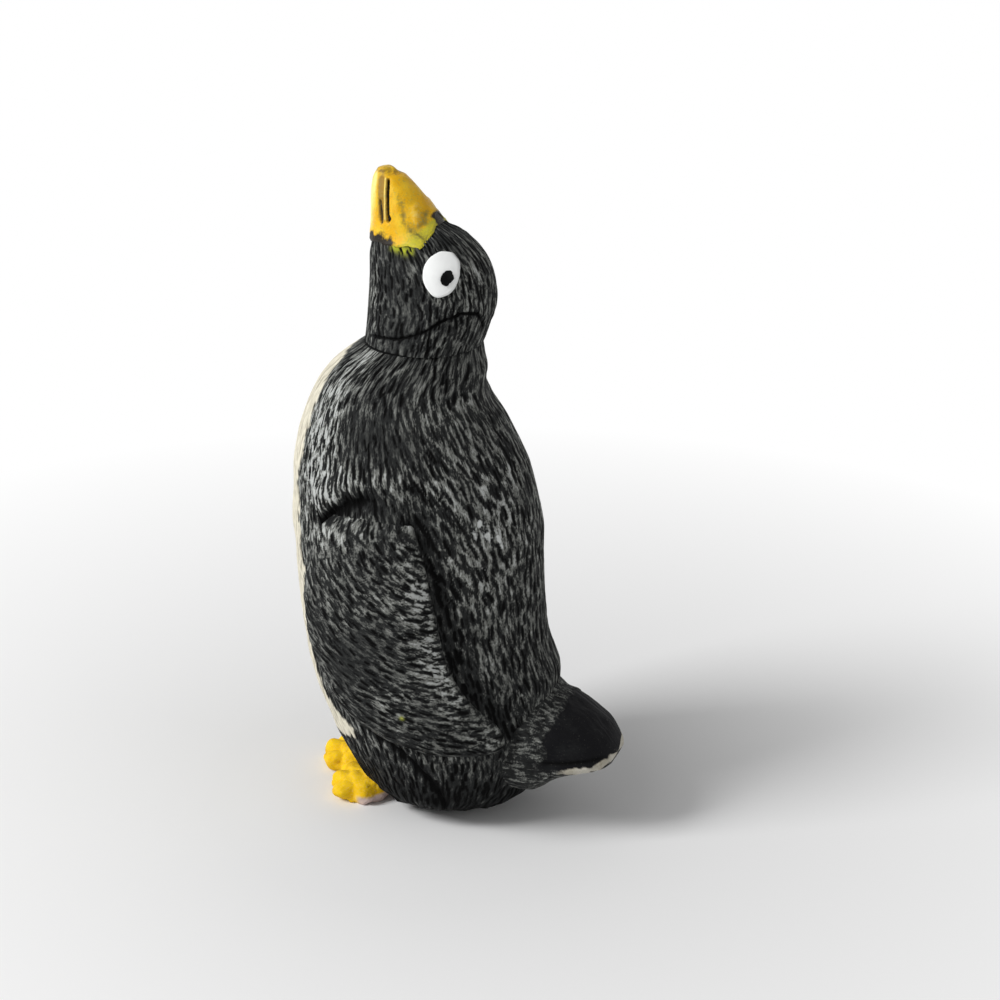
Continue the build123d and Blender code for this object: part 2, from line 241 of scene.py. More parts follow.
def smooth_table(table, at):
    """The columns of a table read between its rows, at places in its first column, with a cubic
    whose slopes are those of the table."""
    places, values = table[:, 0], table[:, 1:]
    slopes = np.gradient(values, places, axis=0)
    row = np.clip(np.searchsorted(places, at, side="right") - 1, 0, len(places) - 2)
    width = (places[row + 1] - places[row])[..., None]
    part = np.clip((at[..., None] - places[row][..., None]) / width, 0, 1)
    read = (
        (2 * part**3 - 3 * part**2 + 1) * values[row]
        + (part**3 - 2 * part**2 + part) * slopes[row] * width
        + (3 * part**2 - 2 * part**3) * values[row + 1]
        + (part**3 - part**2) * slopes[row + 1] * width
    )
    return np.moveaxis(read, -1, 0)


def step(low, high, value):
    """A smooth step from 0 at low to 1 at high."""
    part = np.clip((value - low) / (high - low), 0, 1)
    return part * part * (3 - 2 * part)


def bell(value, middle, width):
    """A bell of height 1 round a middle."""
    return np.exp(-(((value - middle) / width) ** 2))


def patches(across, up, rows):
    """A sum of soft spots: each row is a strength, then its middle and width across and up."""
    return sum(force * bell(across, a, wide) * bell(up, b, tall) for force, a, wide, b, tall in rows)


def soft_max(first, second, blend):
    """The larger of two values, rounded over where they are nearly the same."""
    return blend * np.logaddexp(first / blend, second / blend)


def noise(points, size, seed):
    """Smooth noise from -1 to 1 that changes over one size: the eight corner values of a cube of
    a random lattice, blended by a smooth step along each axis."""
    lattice = np.random.default_rng(seed).uniform(-1, 1, (32, 32, 32))
    place = points / size
    cell = np.floor(place).astype(int)
    part = place - cell
    part = part * part * (3 - 2 * part)
    total = np.zeros(points.shape[:-1])
    for corner in np.ndindex(2, 2, 2):
        weight = np.prod(np.where(np.array(corner) == 1, part, 1 - part), axis=-1)
        i, j, k = np.moveaxis((cell + corner) % 32, -1, 0)
        total += weight * lattice[i, j, k]
    return total


def uneven(points, *layers):
    """Layers of noise, each with its own height, size and seed."""
    return sum(height * noise(points, size, seed) for height, size, seed in layers)


def near_line(across, up, path, width):
    """How near points are to a drawn line: a bell over the distance to its nearest straight run."""
    nearest = np.full(np.broadcast(across, up).shape, 1e9)
    for (a, b), (c, d) in zip(path, path[1:]):
        run_a, run_b = c - a, d - b
        part = ((across - a) * run_a + (up - b) * run_b) / (run_a**2 + run_b**2)
        part = np.clip(part, 0, 1)
        nearest = np.minimum(nearest, np.hypot(across - a - part * run_a, up - b - part * run_b))
    return bell(nearest, 0, width)


# Strokes


def chisel_marks(across, along, lean, columns, seed):
    """Short grooves. Each cell of a staggered lattice holds one, moved, bent and shortened at
    random, and leaning by so many cells across for each along. Its depth is a bell across it
    times a smooth end, and the deepest groove counts. Gives the height left, 1 where uncut."""
    draw = np.random.default_rng(seed).random((columns, 64, 6))
    column, row = np.floor(across).astype(int), np.floor(along).astype(int)
    left = np.ones(across.shape)
    for i in range(-2, 3):
        for j in range(-1, 2):
            wide, long, size, force, bend, slope = np.moveaxis(draw[(column + i) % columns, (row + j) % 64], -1, 0)
            stagger = 0.5 * ((column + i) % 2) - 0.25
            off = along - (row + j + 0.2 + 0.6 * long + stagger)
            aside = across - (column + i + 0.15 + 0.7 * wide)
            aside = aside - (lean + 0.5 * (slope - 0.5)) * off - 0.9 * (bend - 0.5) * off * off
            half = 0.40 + 0.36 * size
            groove = (0.45 + 0.55 * force) * bell(aside, 0, 0.17 + 0.10 * force)
            left = np.minimum(left, 1 - groove * (1 - step(0.45 * half, half, np.abs(off))))
    return left


def carved_strokes(points, across, along, lean, columns, seed):
    """Deep grooves with finer and shallower ones between them, all made wavy by noise."""
    across = across + uneven(points, (0.30, 1.3, seed), (0.18, 0.5, seed + 1))
    along = along + 0.30 * noise(points, 1.9, seed + 2)
    deep = chisel_marks(across, along, lean, columns, seed + 3)
    fine = chisel_marks(1.9 * across + 0.4, 1.7 * along, lean * 1.1, 2 * columns, seed + 4)
    swell = 0.5 + 0.5 * noise(points, 0.75, seed + 5)
    return np.clip(deep * (0.72 + 0.28 * fine) * (0.82 + 0.18 * swell), 0, 1)


def scattered_marks(across, up, fall, spacing, half, width, seed):
    """Short grooves at random places. Each square cell of a lattice holds one, turned to fall at
    the local angle; its depth is a bell across it times a smooth end, and the deepest counts."""
    draw = np.random.default_rng(seed).random((64, 64, 5))
    column, row = np.floor(across / spacing).astype(int), np.floor(up / spacing).astype(int)
    left = np.ones(across.shape)
    reach = int(math.ceil(1.3 * half / spacing))
    for i in range(-reach, reach + 1):
        for j in range(-reach, reach + 1):
            a, b, size, force, bend = np.moveaxis(draw[(column + i) % 64, (row + j) % 64], -1, 0)
            off_across = across - (column + i + a) * spacing
            off_up = up - (row + j + b) * spacing
            along = off_across * np.cos(fall) - off_up * np.sin(fall)
            aside = off_across * np.sin(fall) + off_up * np.cos(fall)
            aside = aside - 0.35 * (bend - 0.5) * along - 0.5 * (bend - 0.5) * along * along
            long = half * (0.55 + 0.6 * size)
            groove = (0.45 + 0.55 * force) * bell(aside, 0, width * (0.75 + 0.5 * force))
            left = np.minimum(left, 1 - groove * (1 - step(0.4 * long, long, np.abs(along))))
    return left


# Rings and skins


def ring_grid(columns, places):
    """Turns all round and places along a piece, as two grids."""
    return np.meshgrid(np.linspace(0, 360, columns, endpoint=False), places)


def turned(profile, columns):
    """Rings of a turned piece from the radius and the height of each."""
    angle = np.radians(np.linspace(0, 360, columns, endpoint=False))
    return np.array([np.stack([r * np.sin(angle), -r * np.cos(angle), 0 * angle + z], axis=-1) for r, z in profile])


def between(first, last, shares):
    """Rings that lie shares of the way from one ring to another."""
    return first + (last - first) * np.reshape(shares, (-1, 1, 1))


def shrunk(ring, shares, lifts=0.0, axis=(0, 0, 1)):
    """Copies of a ring, each a share as large about its middle and lifted along an axis."""
    return between(ring.mean(axis=0), ring, shares) + np.reshape(lifts, (-1, 1, 1)) * np.array(axis)


def padded(marks, before, after, rests=None):
    """Marks with rows added at both ends. These repeat the end rows or, where rests are given,
    hold a mark's resting value, which is 0 unless it is named there."""
    full = {}
    for mark, values in marks.items():
        low, high = values[:1], values[-1:]
        if rests is not None:
            low = high = np.full_like(low, rests.get(mark, 0.0))
        full[mark] = np.concatenate([np.repeat(low, before, axis=0), values, np.repeat(high, after, axis=0)])
    return full


def unrolled(turn, height, radius):
    """Places on a round pillar, which the streaks of the paint are drawn along."""
    angle = np.radians(turn)
    return np.stack([radius * np.sin(angle), radius * np.cos(angle), height], axis=-1)


def outward(rings):
    """Unit normals of a grid of points: the cross product of its steps along and across."""
    along = np.gradient(rings, axis=0)
    around = (np.roll(rings, -1, axis=1) - np.roll(rings, 1, axis=1)) / 2
    normal = np.cross(around, along)
    size = np.linalg.norm(normal, axis=-1, keepdims=True)
    return normal / np.maximum(size, 1e-9)


def closed_skin(name, rings, marks):
    """A closed mesh over rings of points in mm. The first and last ring shrink to one point, and
    marks are values kept at each point for its paint."""
    rows, columns = rings.shape[:2]

    def at_points(grid):
        flat = grid[1:-1].reshape((-1,) + grid.shape[2:])
        return np.concatenate([grid[:1].mean(axis=1), flat, grid[-1:].mean(axis=1)])

    points = at_points(rings) * MM
    ring = np.arange(columns)
    right = np.roll(ring, -1)
    low = 1 + columns * np.arange(rows - 3)[:, None]
    corners = [low + ring, low + right, low + columns + right, low + columns + ring]
    quads = np.stack(corners, axis=-1).reshape(-1, 4)
    last = len(points) - 1
    top = last - columns
    bottom_fan = np.stack([np.zeros(columns, int), 1 + right, 1 + ring], axis=-1)
    top_fan = np.stack([top + ring, top + right, np.full(columns, last)], axis=-1)
    fans = np.concatenate([bottom_fan, top_fan])
    triangles = np.concatenate([quads[:, [0, 1, 2]], quads[:, [0, 2, 3]], fans])
    a, b, c = (points[triangles[:, k]] for k in range(3))
    if np.sum(a * np.cross(b, c)) < 0:  # the volume inside is negative: faces point inwards
        quads, fans = quads[:, ::-1], fans[:, ::-1]
    loops = np.concatenate([quads.ravel(), fans.ravel()])
    starts = np.concatenate([4 * np.arange(len(quads)), 4 * len(quads) + 3 * np.arange(len(fans))])
    mesh = bpy.data.meshes.new(name)
    mesh.vertices.add(len(points))
    mesh.vertices.foreach_set("co", points.astype(np.float32).ravel())
    mesh.loops.add(len(loops))
    mesh.loops.foreach_set("vertex_index", loops.astype(np.int32))
    mesh.polygons.add(len(starts))
    mesh.polygons.foreach_set("loop_start", starts.astype(np.int32))
    mesh.update(calc_edges=True)
    if mesh.validate():
        raise RuntimeError(f"{name} has faulty faces")
    mesh.shade_smooth()
    for mark, grid in marks.items():
        values = at_points(grid)
        kind, field = ("FLOAT", "value") if values.ndim == 1 else ("FLOAT_VECTOR", "vector")
        attribute = mesh.attributes.new(mark, kind, "POINT")
        attribute.data.foreach_set(field, values.astype(np.float32).ravel())
    piece = bpy.data.objects.new(name, mesh)
    bpy.context.scene.collection.objects.link(piece)
    return piece


# Torso


def torso_reaches(height):
    """Front, back and side reach of the torso at a height."""
    return smooth_table(TORSO, height / SEAM)


def torso_skin(turn, height):
    """An oval at each height: the side reach times the sine of the turn across, and half the
    depth times its cosine forwards from the oval's own middle."""
    front, back, side = torso_reaches(height)
    angle = np.radians(turn)
    half = (front + back) / 2
    return np.stack([side * np.sin(angle), (back - front) / 2 - half * np.cos(angle), height], axis=-1)


def side_turn(turn):
    """Degrees from the front, the same on both sides."""
    return np.abs((turn + 180) % 360 - 180)


def drawn(path, arc=TORSO_ARC, tall=SEAM):
    """A line on a piece from rows of turn and height, as mm across and mm up."""
    return [(math.radians(turn) * arc, height * tall) for turn, height in path]


SHOULDER_CREASE = drawn([(62, 0.665), (70, 0.697), (79, 0.722), (88, 0.734), (98, 0.735), (106, 0.722), (110, 0.700)])
SHOULDER_BULGE = drawn([(64, 0.725), (76, 0.762), (90, 0.775), (102, 0.772)])
REAR_VALLEY = drawn(
    [(110, 0.69), (113, 0.63), (118, 0.55), (121, 0.465), (124, 0.38), (129, 0.33), (136, 0.29), (143, 0.235)]
)
THIGH_LINE = drawn([(70, 0.235), (80, 0.215), (86, 0.195), (91, 0.172), (98, 0.135), (103, 0.095), (106, 0.06)])

# Bare spots on the left of the back: a line, its width and its strength
SCUFFS = [
    (drawn([(140, 0.69), (142, 0.665), (143, 0.655)]), 0.34, 1.0),
    (drawn([(148, 0.655), (150, 0.635)]), 0.22, 0.9),
    (drawn([(136, 0.675), (137, 0.66)]), 0.22, 0.8),
    (drawn([(139, 0.60), (140, 0.59)]), 0.20, 0.7),
]

# Where the torso is painted lighter or darker, in patches: the brush caught more or less there, and the patches also
# paint light and shade, lighter at the front of the shoulders and on the back, darker on the sides above the flippers.
# Rows for patches, in degrees and mm
TORSO_WEAR_AND_LIGHT = [
    (1.9, 56, 16, 36, 8), (-0.35, 80, 20, 37, 5), (0.6, 145, 32, 33, 9), (0.25, 150, 25, 25, 8),
    (-0.4, 95, 18, 36, 5),
]

# The turn where the cream of the belly ends at each height
BELLY_EDGE = np.array(
    [
        (0.0, -10.0), (7.4, 20.0), (8.3, 50.0), (9.1, 57.0), (10.2, 55.0), (11.0, 48.5), (11.9, 43.0),
        (14.0, 39.0), (20.0, 38.5), (25.0, 41.0), (26.9, 41.0), (30.4, 38.0), (33.2, 37.5), (37.6, 39.0),
        (39.8, 38.5), (41.7, 35.5), (43.2, 23.0), (43.9, -6.0),
    ]
)


def torso_sweep(turn, height):
    """The turn that a stroke starts from at the neck: strokes run straight down in front, and
    drift a little towards the spine as they go down the back."""
    side = side_turn(turn)
    drift = 15 * np.sin(np.pi * (side / 180) ** 1.6) * np.clip((height - 8) / 32, 0, 1)
    return turn + drift * np.sign(np.sin(np.radians(turn)))


def add_thighs(points, height):
    """The torso with a round thigh above each foot. Seen from the middle of a slice, the thigh's
    far side is where the ray leaves its circle, and the larger of both reaches counts."""
    front, back, _ = torso_reaches(height)
    middle = np.stack([np.zeros_like(front), (back - front) / 2], axis=-1)
    away = points[..., :2] - middle
    reach = np.linalg.norm(away, axis=-1)
    direction = away / np.maximum(reach, 1e-6)[..., None]
    part = np.clip((height - THIGH_LOW) / (THIGH_HIGH - THIGH_LOW), 0, 1.4)
    ends = np.sqrt(step(0.85, 1.5, height)) * (1 - step(7.5, 11.0, height))
    radius = (THIGH_RADIUS + THIGH_SWELL * part) * ends
    for x, y, _ in FEET.values():
        to_thigh = np.stack([x + 0 * part, y + THIGH_BACK + THIGH_LEAN * part], axis=-1) - middle
        ahead = (to_thigh * direction).sum(axis=-1)
        inside = radius**2 - (to_thigh**2).sum(axis=-1) + ahead**2
        edge = np.where(inside > 0, ahead + np.sqrt(np.maximum(inside, 0)), 0)
        reach = soft_max(reach, edge, 0.22)
    moved = points.copy()
    moved[..., :2] = middle + direction * reach[..., None]
    return moved


def carve_torso(sizes):
    """The torso: ovals, thighs, folds and strokes, closed below by its flat base and above by
    the neck socket, which is the plug's turned profile a little larger."""
    columns, side_rows = 512, 176
    turn, height = ring_grid(columns, np.linspace(0, SEAM, side_rows))
    points = add_thighs(torso_skin(turn, height), height)
    normal = outward(points)
    side = side_turn(turn)
    leftward = np.sin(np.radians(turn))
    arc = np.radians(side) * TORSO_ARC
    under = 1 - step(3, 9, height)

    crease = near_line(arc, height, SHOULDER_CREASE, 0.60) * (1 - 0.9 * step(80, 98, side))
    crease = crease * np.clip(0.85 + 0.5 * noise(points, 0.9, 14), 0, 1)
    bulge = near_line(arc, height, SHOULDER_BULGE, 1.35)
    valley = near_line(arc, height, REAR_VALLEY, 1.0)
    thigh_line = near_line(arc, height, THIGH_LINE, 0.32)
    forms = sizes.shoulder_bulge / MM * bulge - sizes.crease_depth / MM * crease
    forms -= 0.40 * valley + 0.28 * thigh_line + 0.3 * bell(side, 12, 40) * bell(height, 2.6, 2.2)
    forms += 0.40 * bell(height, 14.2, 1.6) * step(140, 165, side)
    forms += step(140, 175, side) * (0.30 * bell(height, 42.3, 1.1) - 0.22 * bell(height, 39.6, 1.3))
    forms += uneven(points, (0.10, 3.1, 11), (0.06, 1.5, 12))
    forms += 0.22 * noise(points, 1.2, 13) * (1 - step(1.5, 5.0, height))

    swept = torso_sweep(turn, height)
    along = height / (sizes.feather_length / MM)
    lean = -0.75 * bell(side, 128, 26) * step(20, 26, height) * (1 - step(38, 42, height)) * np.sign(leftward)
    body, neck = (
        carved_strokes(points, swept / 360 * count, along, share * lean, count, seed)
        for count, share, seed in ((108, 1.0, 21), (60, 0.5, 121))
    )
    relief = body + (neck - body) * step(37.0, 41.0, height + 0.8 * noise(points, 1.0, 17))

    edge = smooth_table(BELLY_EDGE, height)[0]
    ragged = 5.0 * (relief - 0.6) + uneven(points, (2.5, 1.1, 18), (1.5, 0.45, 19))
    cream = step(-1.0, 1.0, edge - side + ragged)
    depth = sizes.feather_depth / MM * (1 - (1 - sizes.belly_share) * cream)
    depth = depth * step(0.0, 1.5, height) * (1 - 0.75 * step(150, 165, side) * (1 - step(8, 14, height)))
    end = step(0, 0.5, height) * (1 - 0.5 * step(SEAM - 0.5, SEAM, height))
    carved = points + normal * ((forms + depth * (relief - MEAN_RELIEF)) * end)[..., None]
    carved[..., 2] = np.clip(carved[..., 2], 0, SEAM) + TORSO_RISE * step(SEAM - 0.4, SEAM, height)

    base = shrunk(carved[0], [0.0, 0.25, 0.5, 0.75])
    wall = [(radius + SOCKET_CLEARANCE, z) for radius, z in PLUG[:-1]]
    mouth = wall[0][0]
    socket = turned([(mouth, SEAM), *wall[:0:-1], (mouth, SOCKET_FLOOR), (0.0, SOCKET_FLOOR)], columns)
    lip = between(carved[-1], socket[0], [0.08, 0.5])
    lip[..., 2] = SEAM + np.array([0.03, 0.0])[:, None]

    # Painted light and shade go into this mark along with the brushing: lighter on the shoulder bulge and in the
    # lighter patches, darker in the darker patches, in the shoulder crease, in the valley behind the flipper and low
    # down, where shade falls.
    wear_and_light = bulge + patches(side, height, TORSO_WEAR_AND_LIGHT) - 0.3 * valley - crease - 0.35 * under
    # Painted shadow, taken off the relief mark below, so that the black of the grooves paints shade in the valley
    # behind the flipper, low down, in the shoulder crease and along the thigh line.
    shadow = 0.28 * valley + 0.30 * under + 0.8 * crease + 0.6 * thigh_line
    scuff = sum(strength * near_line(arc, height, path, width) for path, width, strength in SCUFFS)
    marks = {
        "relief": np.clip(relief - shadow, 0, 1),
        "wear_and_light": wear_and_light,
        "cream": cream,
        "scuff": scuff * (leftward > 0) * (0.9 + 0.7 * noise(points, 0.35, 25)),
        "flow": unrolled(swept, height, 10.5),
    }
    rings = np.concatenate([base, carved, lip, socket])
    return rings, padded(marks, len(base), len(lip) + len(socket), {"relief": 0.4})


# Head and beak


def tilted_slices(rows, base, rise):
    """For each slice: its middle, its tilt, half its depth and half its width."""
    low, high, front, back, side = np.array(rows).T
    front_y, front_z = -front * THROAT, base + low * rise
    back_y, back_z = back * NAPE, base + high * rise
    half = np.hypot(back_y - front_y, back_z - front_z) / 2
    tilt = np.arctan2(back_z - front_z, back_y - front_y)
    middle = [(front_y + back_y) / 2, (front_z + back_z) / 2]
    return np.stack([*middle, tilt, half, side * CHEEK], axis=-1)


SKULL_SLICES = tilted_slices(HEAD, HEAD_BASE, HEAD_HEIGHT)
CAP_SLICES = np.concatenate(
    [
        SKULL_SLICES[-CAP_BELOW:] + (0, 0, 0, BEAK_LIP, BEAK_LIP),
        tilted_slices(BEAK, BEAK_BASE, BEAK_HEIGHT),
    ]
)


def egg_skin(slices, turn, place, grow=0.0):
    """A ring of the head or beak in a tilted plane, widest behind its middle: the half width
    times the sine of the turn across, and one of two half depths times its cosine forwards."""
    numbered = np.column_stack([np.arange(len(slices)), slices])
    middle_y, middle_z, tilt, half, side = smooth_table(numbered, place)
    angle = np.radians(turn)
    widest = half * (2 * WIDEST - 1)
    reach = np.where(np.cos(angle) > 0, half + widest, half - widest) + grow
    deep = widest - reach * np.cos(angle)
    across = (side + grow) * np.sin(angle)
    return np.stack([across, middle_y + deep * np.cos(tilt), middle_z + deep * np.sin(tilt)], axis=-1)


NECK_CREASE = drawn(
    [(40, 45.35), (56, 45.55), (86, 45.85), (109, 46.55), (127, 47.75), (144, 48.35), (158, 48.1), (170, 46.6)],
    HEAD_ARC,
    1,
)
NECK_CUT = drawn([(119, 47.3), (116, 46.1), (115, 44.7)], HEAD_ARC, 1)
BRUSH_SLIP = [(-1.4, 53.40), (-0.45, 53.30), (0.40, 53.25)]
# Patches where the head is painted lighter or darker, as painted light and shade: a lighter back of the head and a
# darker lower side.
HEAD_WEAR_AND_LIGHT = [(0.55, 150, 30, 50.5, 3), (-0.35, 100, 30, 48.5, 2)]


def carve_head(sizes):
    """The head on its neck plug: tilted egg-shaped slices with strokes, a fold round the neck and
    a hollow round each eye."""
    columns, side_rows, count = 336, 150, 60
    turn, place = ring_grid(columns, np.linspace(0, len(HEAD) - 1, side_rows))
    points = egg_skin(SKULL_SLICES, turn, place)
    normal = outward(points)
    bearing = np.degrees(np.arctan2(np.abs(points[..., 0]), -points[..., 1]))
    height = points[..., 2]
    arc = np.radians(bearing) * HEAD_ARC

    fold = near_line(arc, height, NECK_CREASE, 0.12) * np.clip(0.75 + 0.7 * noise(points, 0.8, 33), 0, 1)
    above = near_line(arc, height, [(a, z + 0.65) for a, z in NECK_CREASE], 0.5)
    cut = near_line(arc, height, NECK_CUT, 0.12)
    eye = EYE_MIDDLE * (np.where(points[..., :1] > 0, 1, -1) * (1, 0, 0) + (0, 1, 1))
    eye_gap = np.linalg.norm(points - eye, axis=-1)
    socket = bell(eye_gap, 2.35, 0.35)
    brow = bell(eye_gap, 3.1, 0.5) * step(0, 1.5, height - EYE_MIDDLE[2])
    forms = 0.10 * above - 0.20 * fold - 0.12 * cut - 0.10 * socket + 0.10 * brow
    forms += uneven(points, (0.07, 2.2, 31), (0.05, 1.0, 32))
    along = height / (0.85 * sizes.feather_length / MM)
    relief = carved_strokes(points, turn / 360 * count, along, 0 * along, count, 221)
    strokes = 0.62 * sizes.feather_depth / MM * (relief - MEAN_RELIEF)
    end = step(0, 0.3, place)
    carved = points + normal * (forms * end + strokes * (0.5 + 0.5 * end))[..., None]
    carved[:, :, 2] -= HEAD_DROP * (1 - end)
    carved[0, :, 2] = HEAD_BASE - HEAD_DROP

    plug = turned(PLUG, columns)
    nose = plug[:1] * (0, 0, 1)
    collar = between(plug[-1], carved[0], [0.5, 0.94])
    top = shrunk(carved[-1], [0.8, 0.4, 0.0])

    # Painted light and shade go into this mark along with the brushing: lighter at the back of the head and in a strip
    # 42 degrees from the front, darker on the sides and in the neck fold. The top above 52 to 54 mm is also made
    # darker.
    wear_and_light = patches(bearing, height, HEAD_WEAR_AND_LIGHT) + 0.25 * bell(bearing, 42, 8) - 0.5 * bell(bearing, 76, 22)
    wear_and_light -= 0.8 * fold + 0.3 * step(52, 54, height)
    slip = near_line(points[..., 1], height, BRUSH_SLIP, 0.30) * (points[..., 0] > 2)
    marks = {
        # The neck fold and the cut are taken off the relief mark, so that the black of the grooves paints shade in
        # them.
        "relief": np.clip(relief - 0.9 * fold - 0.7 * cut, 0, 1),
        "wear_and_light": wear_and_light,
        "speck": slip * step(0.45, 0.75, relief + 0.2 * noise(points, 0.35, 36)),
        "flow": unrolled(turn, height, 5),
    }
    rings = np.concatenate([nose, plug, collar, carved, top])
    return rings, padded(marks, len(nose) + len(plug) + len(collar), len(top), {"relief": 0.4})


# Lines on the beak seen from its side, as y and z
SEAT_CORNER = (1.95, 53.73)
SEAT_REAR = np.array([(1.20, 53.4), (1.36, 53.7), (1.58, 54.2), (1.80, 54.7), (1.66, 55.2), (1.25, 55.9), (0.85, 56.6)])
OVERPAINT_EDGE = ([54.7, 55.2, 55.7, 56.6], [2.6, 1.65, 1.25, 1.12])  # z and y
GAPE = [(-2.56, 58.60), (-2.38, 56.90), (-2.22, 55.65)]
GAPE_FOOT = [(-2.20, 55.75), (-2.08, 55.60), (-2.16, 55.45)]
RIDGE = [(-2.80, 58.70), (-2.63, 56.95), (-2.46, 55.50)]
FRONT_SLIT = [(-3.18, 56.90), (-2.98, 56.10), (-2.84, 55.15)]
PANEL = [(-3.22, 58.60), (-3.02, 57.00), (-2.80, 55.60)]
NOSTRIL_RING = [
    (-1.29, 57.34), (-1.00, 56.70), (-0.77, 56.0), (-0.6, 55.4), (-0.1, 55.1), (0.55, 55.1), (0.89, 55.4), (0.8, 56.0)
]
NUB = [(-0.05, 56.50), (0.17, 55.90), (0.42, 55.35)]
STREAK = [(-0.04, 54.75), (0.60, 54.55), (1.34, 54.18)]


def carve_beak():
    """The beak as a cap over the skull. Its skin starts, at each turn, where it leaves the seat:
    a line along the sides that turns up steeply behind. Inside it follows the skull."""
    columns, side_rows, inner_rows = 256, 130, 10
    turn, tries = ring_grid(columns, np.linspace(0, 4, 400))
    skin = egg_skin(CAP_SLICES, turn, tries)
    x, y, z = np.moveaxis(skin, -1, 0)
    slope = (SEAT_CORNER[1] - BEAK_BASE) / (SEAT_CORNER[0] + THROAT)
    wave = uneven(skin, (0.13, 1.1, 41), (0.06, 0.5, 42))
    above = z - BEAK_BASE - slope * (y + THROAT) + wave
    ahead = np.interp(z, SEAT_REAR[:, 1], SEAT_REAR[:, 0]) - y + 0.5 * wave
    kept = -soft_max(-above, -ahead, 0.10)
    start = tries[np.argmax(kept > 0, axis=0), 0]

    turn, part = ring_grid(columns, np.linspace(0, 1, side_rows))
    points = egg_skin(CAP_SLICES, turn, start + (len(CAP_SLICES) - 1 - start) * part)
    normal = outward(points)
    x, y, z = np.moveaxis(points, -1, 0)
    sides = step(0.2, 0.7, np.abs(x))

    def on_side(path, width):
        return near_line(y, z, path, width) * sides

    rough = noise(points, 0.45, 43)
    gape = np.maximum(on_side(GAPE, 0.15), on_side(GAPE_FOOT, 0.17))
    slit, ridge, panel = on_side(FRONT_SLIT, 0.12), on_side(RIDGE, 0.10), on_side(PANEL, 0.36)
    nub, nostril_ring = on_side(NUB, 0.27), on_side(NOSTRIL_RING, 0.27)
    forms = -0.34 * gape - 0.20 * slit + 0.06 * ridge - 0.06 * panel + 0.11 * nub - 0.06 * nostril_ring
    forms += 0.06 * noise(points, 1.3, 44) + 0.02 * rough - 0.10 * (1 - step(0.0, 0.035, part))
    forms -= 0.32 * step(58.7, 59.5, z) * step(-3.3, -2.4, y)
    carved = points + normal * forms[..., None]

    top = shrunk(carved[-1], [0.8, 0.45, 0.0], [0.07, 0.126, 0.14])
    covered = CAP_BELOW - 1
    inner = start + (covered - start) * np.linspace(0, 1, inner_rows)[:, None]
    skull_place = np.clip(inner, 0, covered) + len(HEAD) - CAP_BELOW
    lining = egg_skin(SKULL_SLICES, turn[:1] + 0 * skull_place, skull_place, LINING_GAP)[::-1]
    roof = shrunk(lining[0], [0.0], LINING_GAP)

    patchy = 0.75 + 0.5 * noise(points, 0.4, 45)
    chin = step(54.35, 53.75, z + 0.45 * rough) * step(-1.0, -1.9, y + 0.5 * rough)
    behind = step(-0.12, 0.12, y - np.interp(z, *OVERPAINT_EDGE) + 0.1 * rough)
    wash = 1.3 * gape + 1.1 * slit * patchy + 1.2 * chin + 1.2 * behind
    wash += 0.35 * bell(z, 59.25, 0.16) * patchy + 0.5 * on_side(STREAK, 0.13) * patchy
    # Painted shade: the sunken panel between the slits is painted ochre, except on its pale ridge.
    ochre = 1.5 * panel * (1 - ridge) + 0.7 * step(58.9, 59.2, z) * patchy
    olive = 0.85 * nostril_ring * patchy + 0.5 * on_side(STREAK, 0.35)
    rear = step(0.6, 1.4, y - 0.5 * (z - 55)) * (1 - step(55.6, 56.6, z))
    low = step(-1.2, 0.4, y) * (1 - step(54.4, 55.2, z))
    lemon = np.clip(rear + 0.8 * low + 0.6 * (1 - step(0.0, 0.05, part)), 0, 1) * (1 - 0.8 * nub)
    # Painted highlight: the front edge, the ridge between the slits and the nub are painted pale.
    front = step(3.50, 3.85, -y + 0.075 * (58 - z)) * bell(np.abs(x), 0.9, 0.55)
    pale = np.clip(0.9 * front * (1 - 0.7 * (1 - step(54.2, 55.2, z))) + 0.6 * ridge + 0.35 * nub * patchy, 0, 1)
    marks = {"wash": wash, "ochre": ochre, "olive": olive, "lemon": lemon, "pale": pale}
    rings = np.concatenate([roof, lining, carved, top])
    return rings, padded(marks, len(roof) + len(lining), len(top))


# Eyes


def eye_axes(side):
    """The eye's own axes: towards its back, up along it, and out of the head."""
    turn, tilt = math.radians(EYE_TURN), math.radians(EYE_TILT)
    back = np.array([math.cos(turn), math.sin(turn), 0])
    out = np.array([math.cos(tilt) * math.sin(turn), -math.cos(tilt) * math.cos(turn), math.sin(tilt)])
    mirror = np.array([side, 1, 1])
    return back * mirror, np.cross(out, back) * mirror, out * mirror


def on_skull(right, up, side):
    """The skull's skin under points of the eye's plane, found by a few of Newton's steps on the
    skin's own two parameters."""
    back, rise, _ = eye_axes(side)
    middle = EYE_MIDDLE * (side, 1, 1)
    turn, place = np.full(right.shape, 105.0 * side), np.full(right.shape, 3.9)
    tiny = 0.01
    for _ in range(9):
        here = egg_skin(SKULL_SLICES, turn, place)
        by_turn = (egg_skin(SKULL_SLICES, turn + tiny, place) - here) / tiny
        by_place = (egg_skin(SKULL_SLICES, turn, place + tiny) - here) / tiny
        miss_right = right - (here - middle) @ back
        miss_up = up - (here - middle) @ rise
        a, b = by_turn @ back, by_place @ back
        c, d = by_turn @ rise, by_place @ rise
        size = a * d - b * c
        turn = turn + np.clip((d * miss_right - b * miss_up) / size, -15, 15)
        place = place + np.clip((a * miss_up - c * miss_right) / size, -0.7, 0.7)
    return egg_skin(SKULL_SLICES, turn, place)


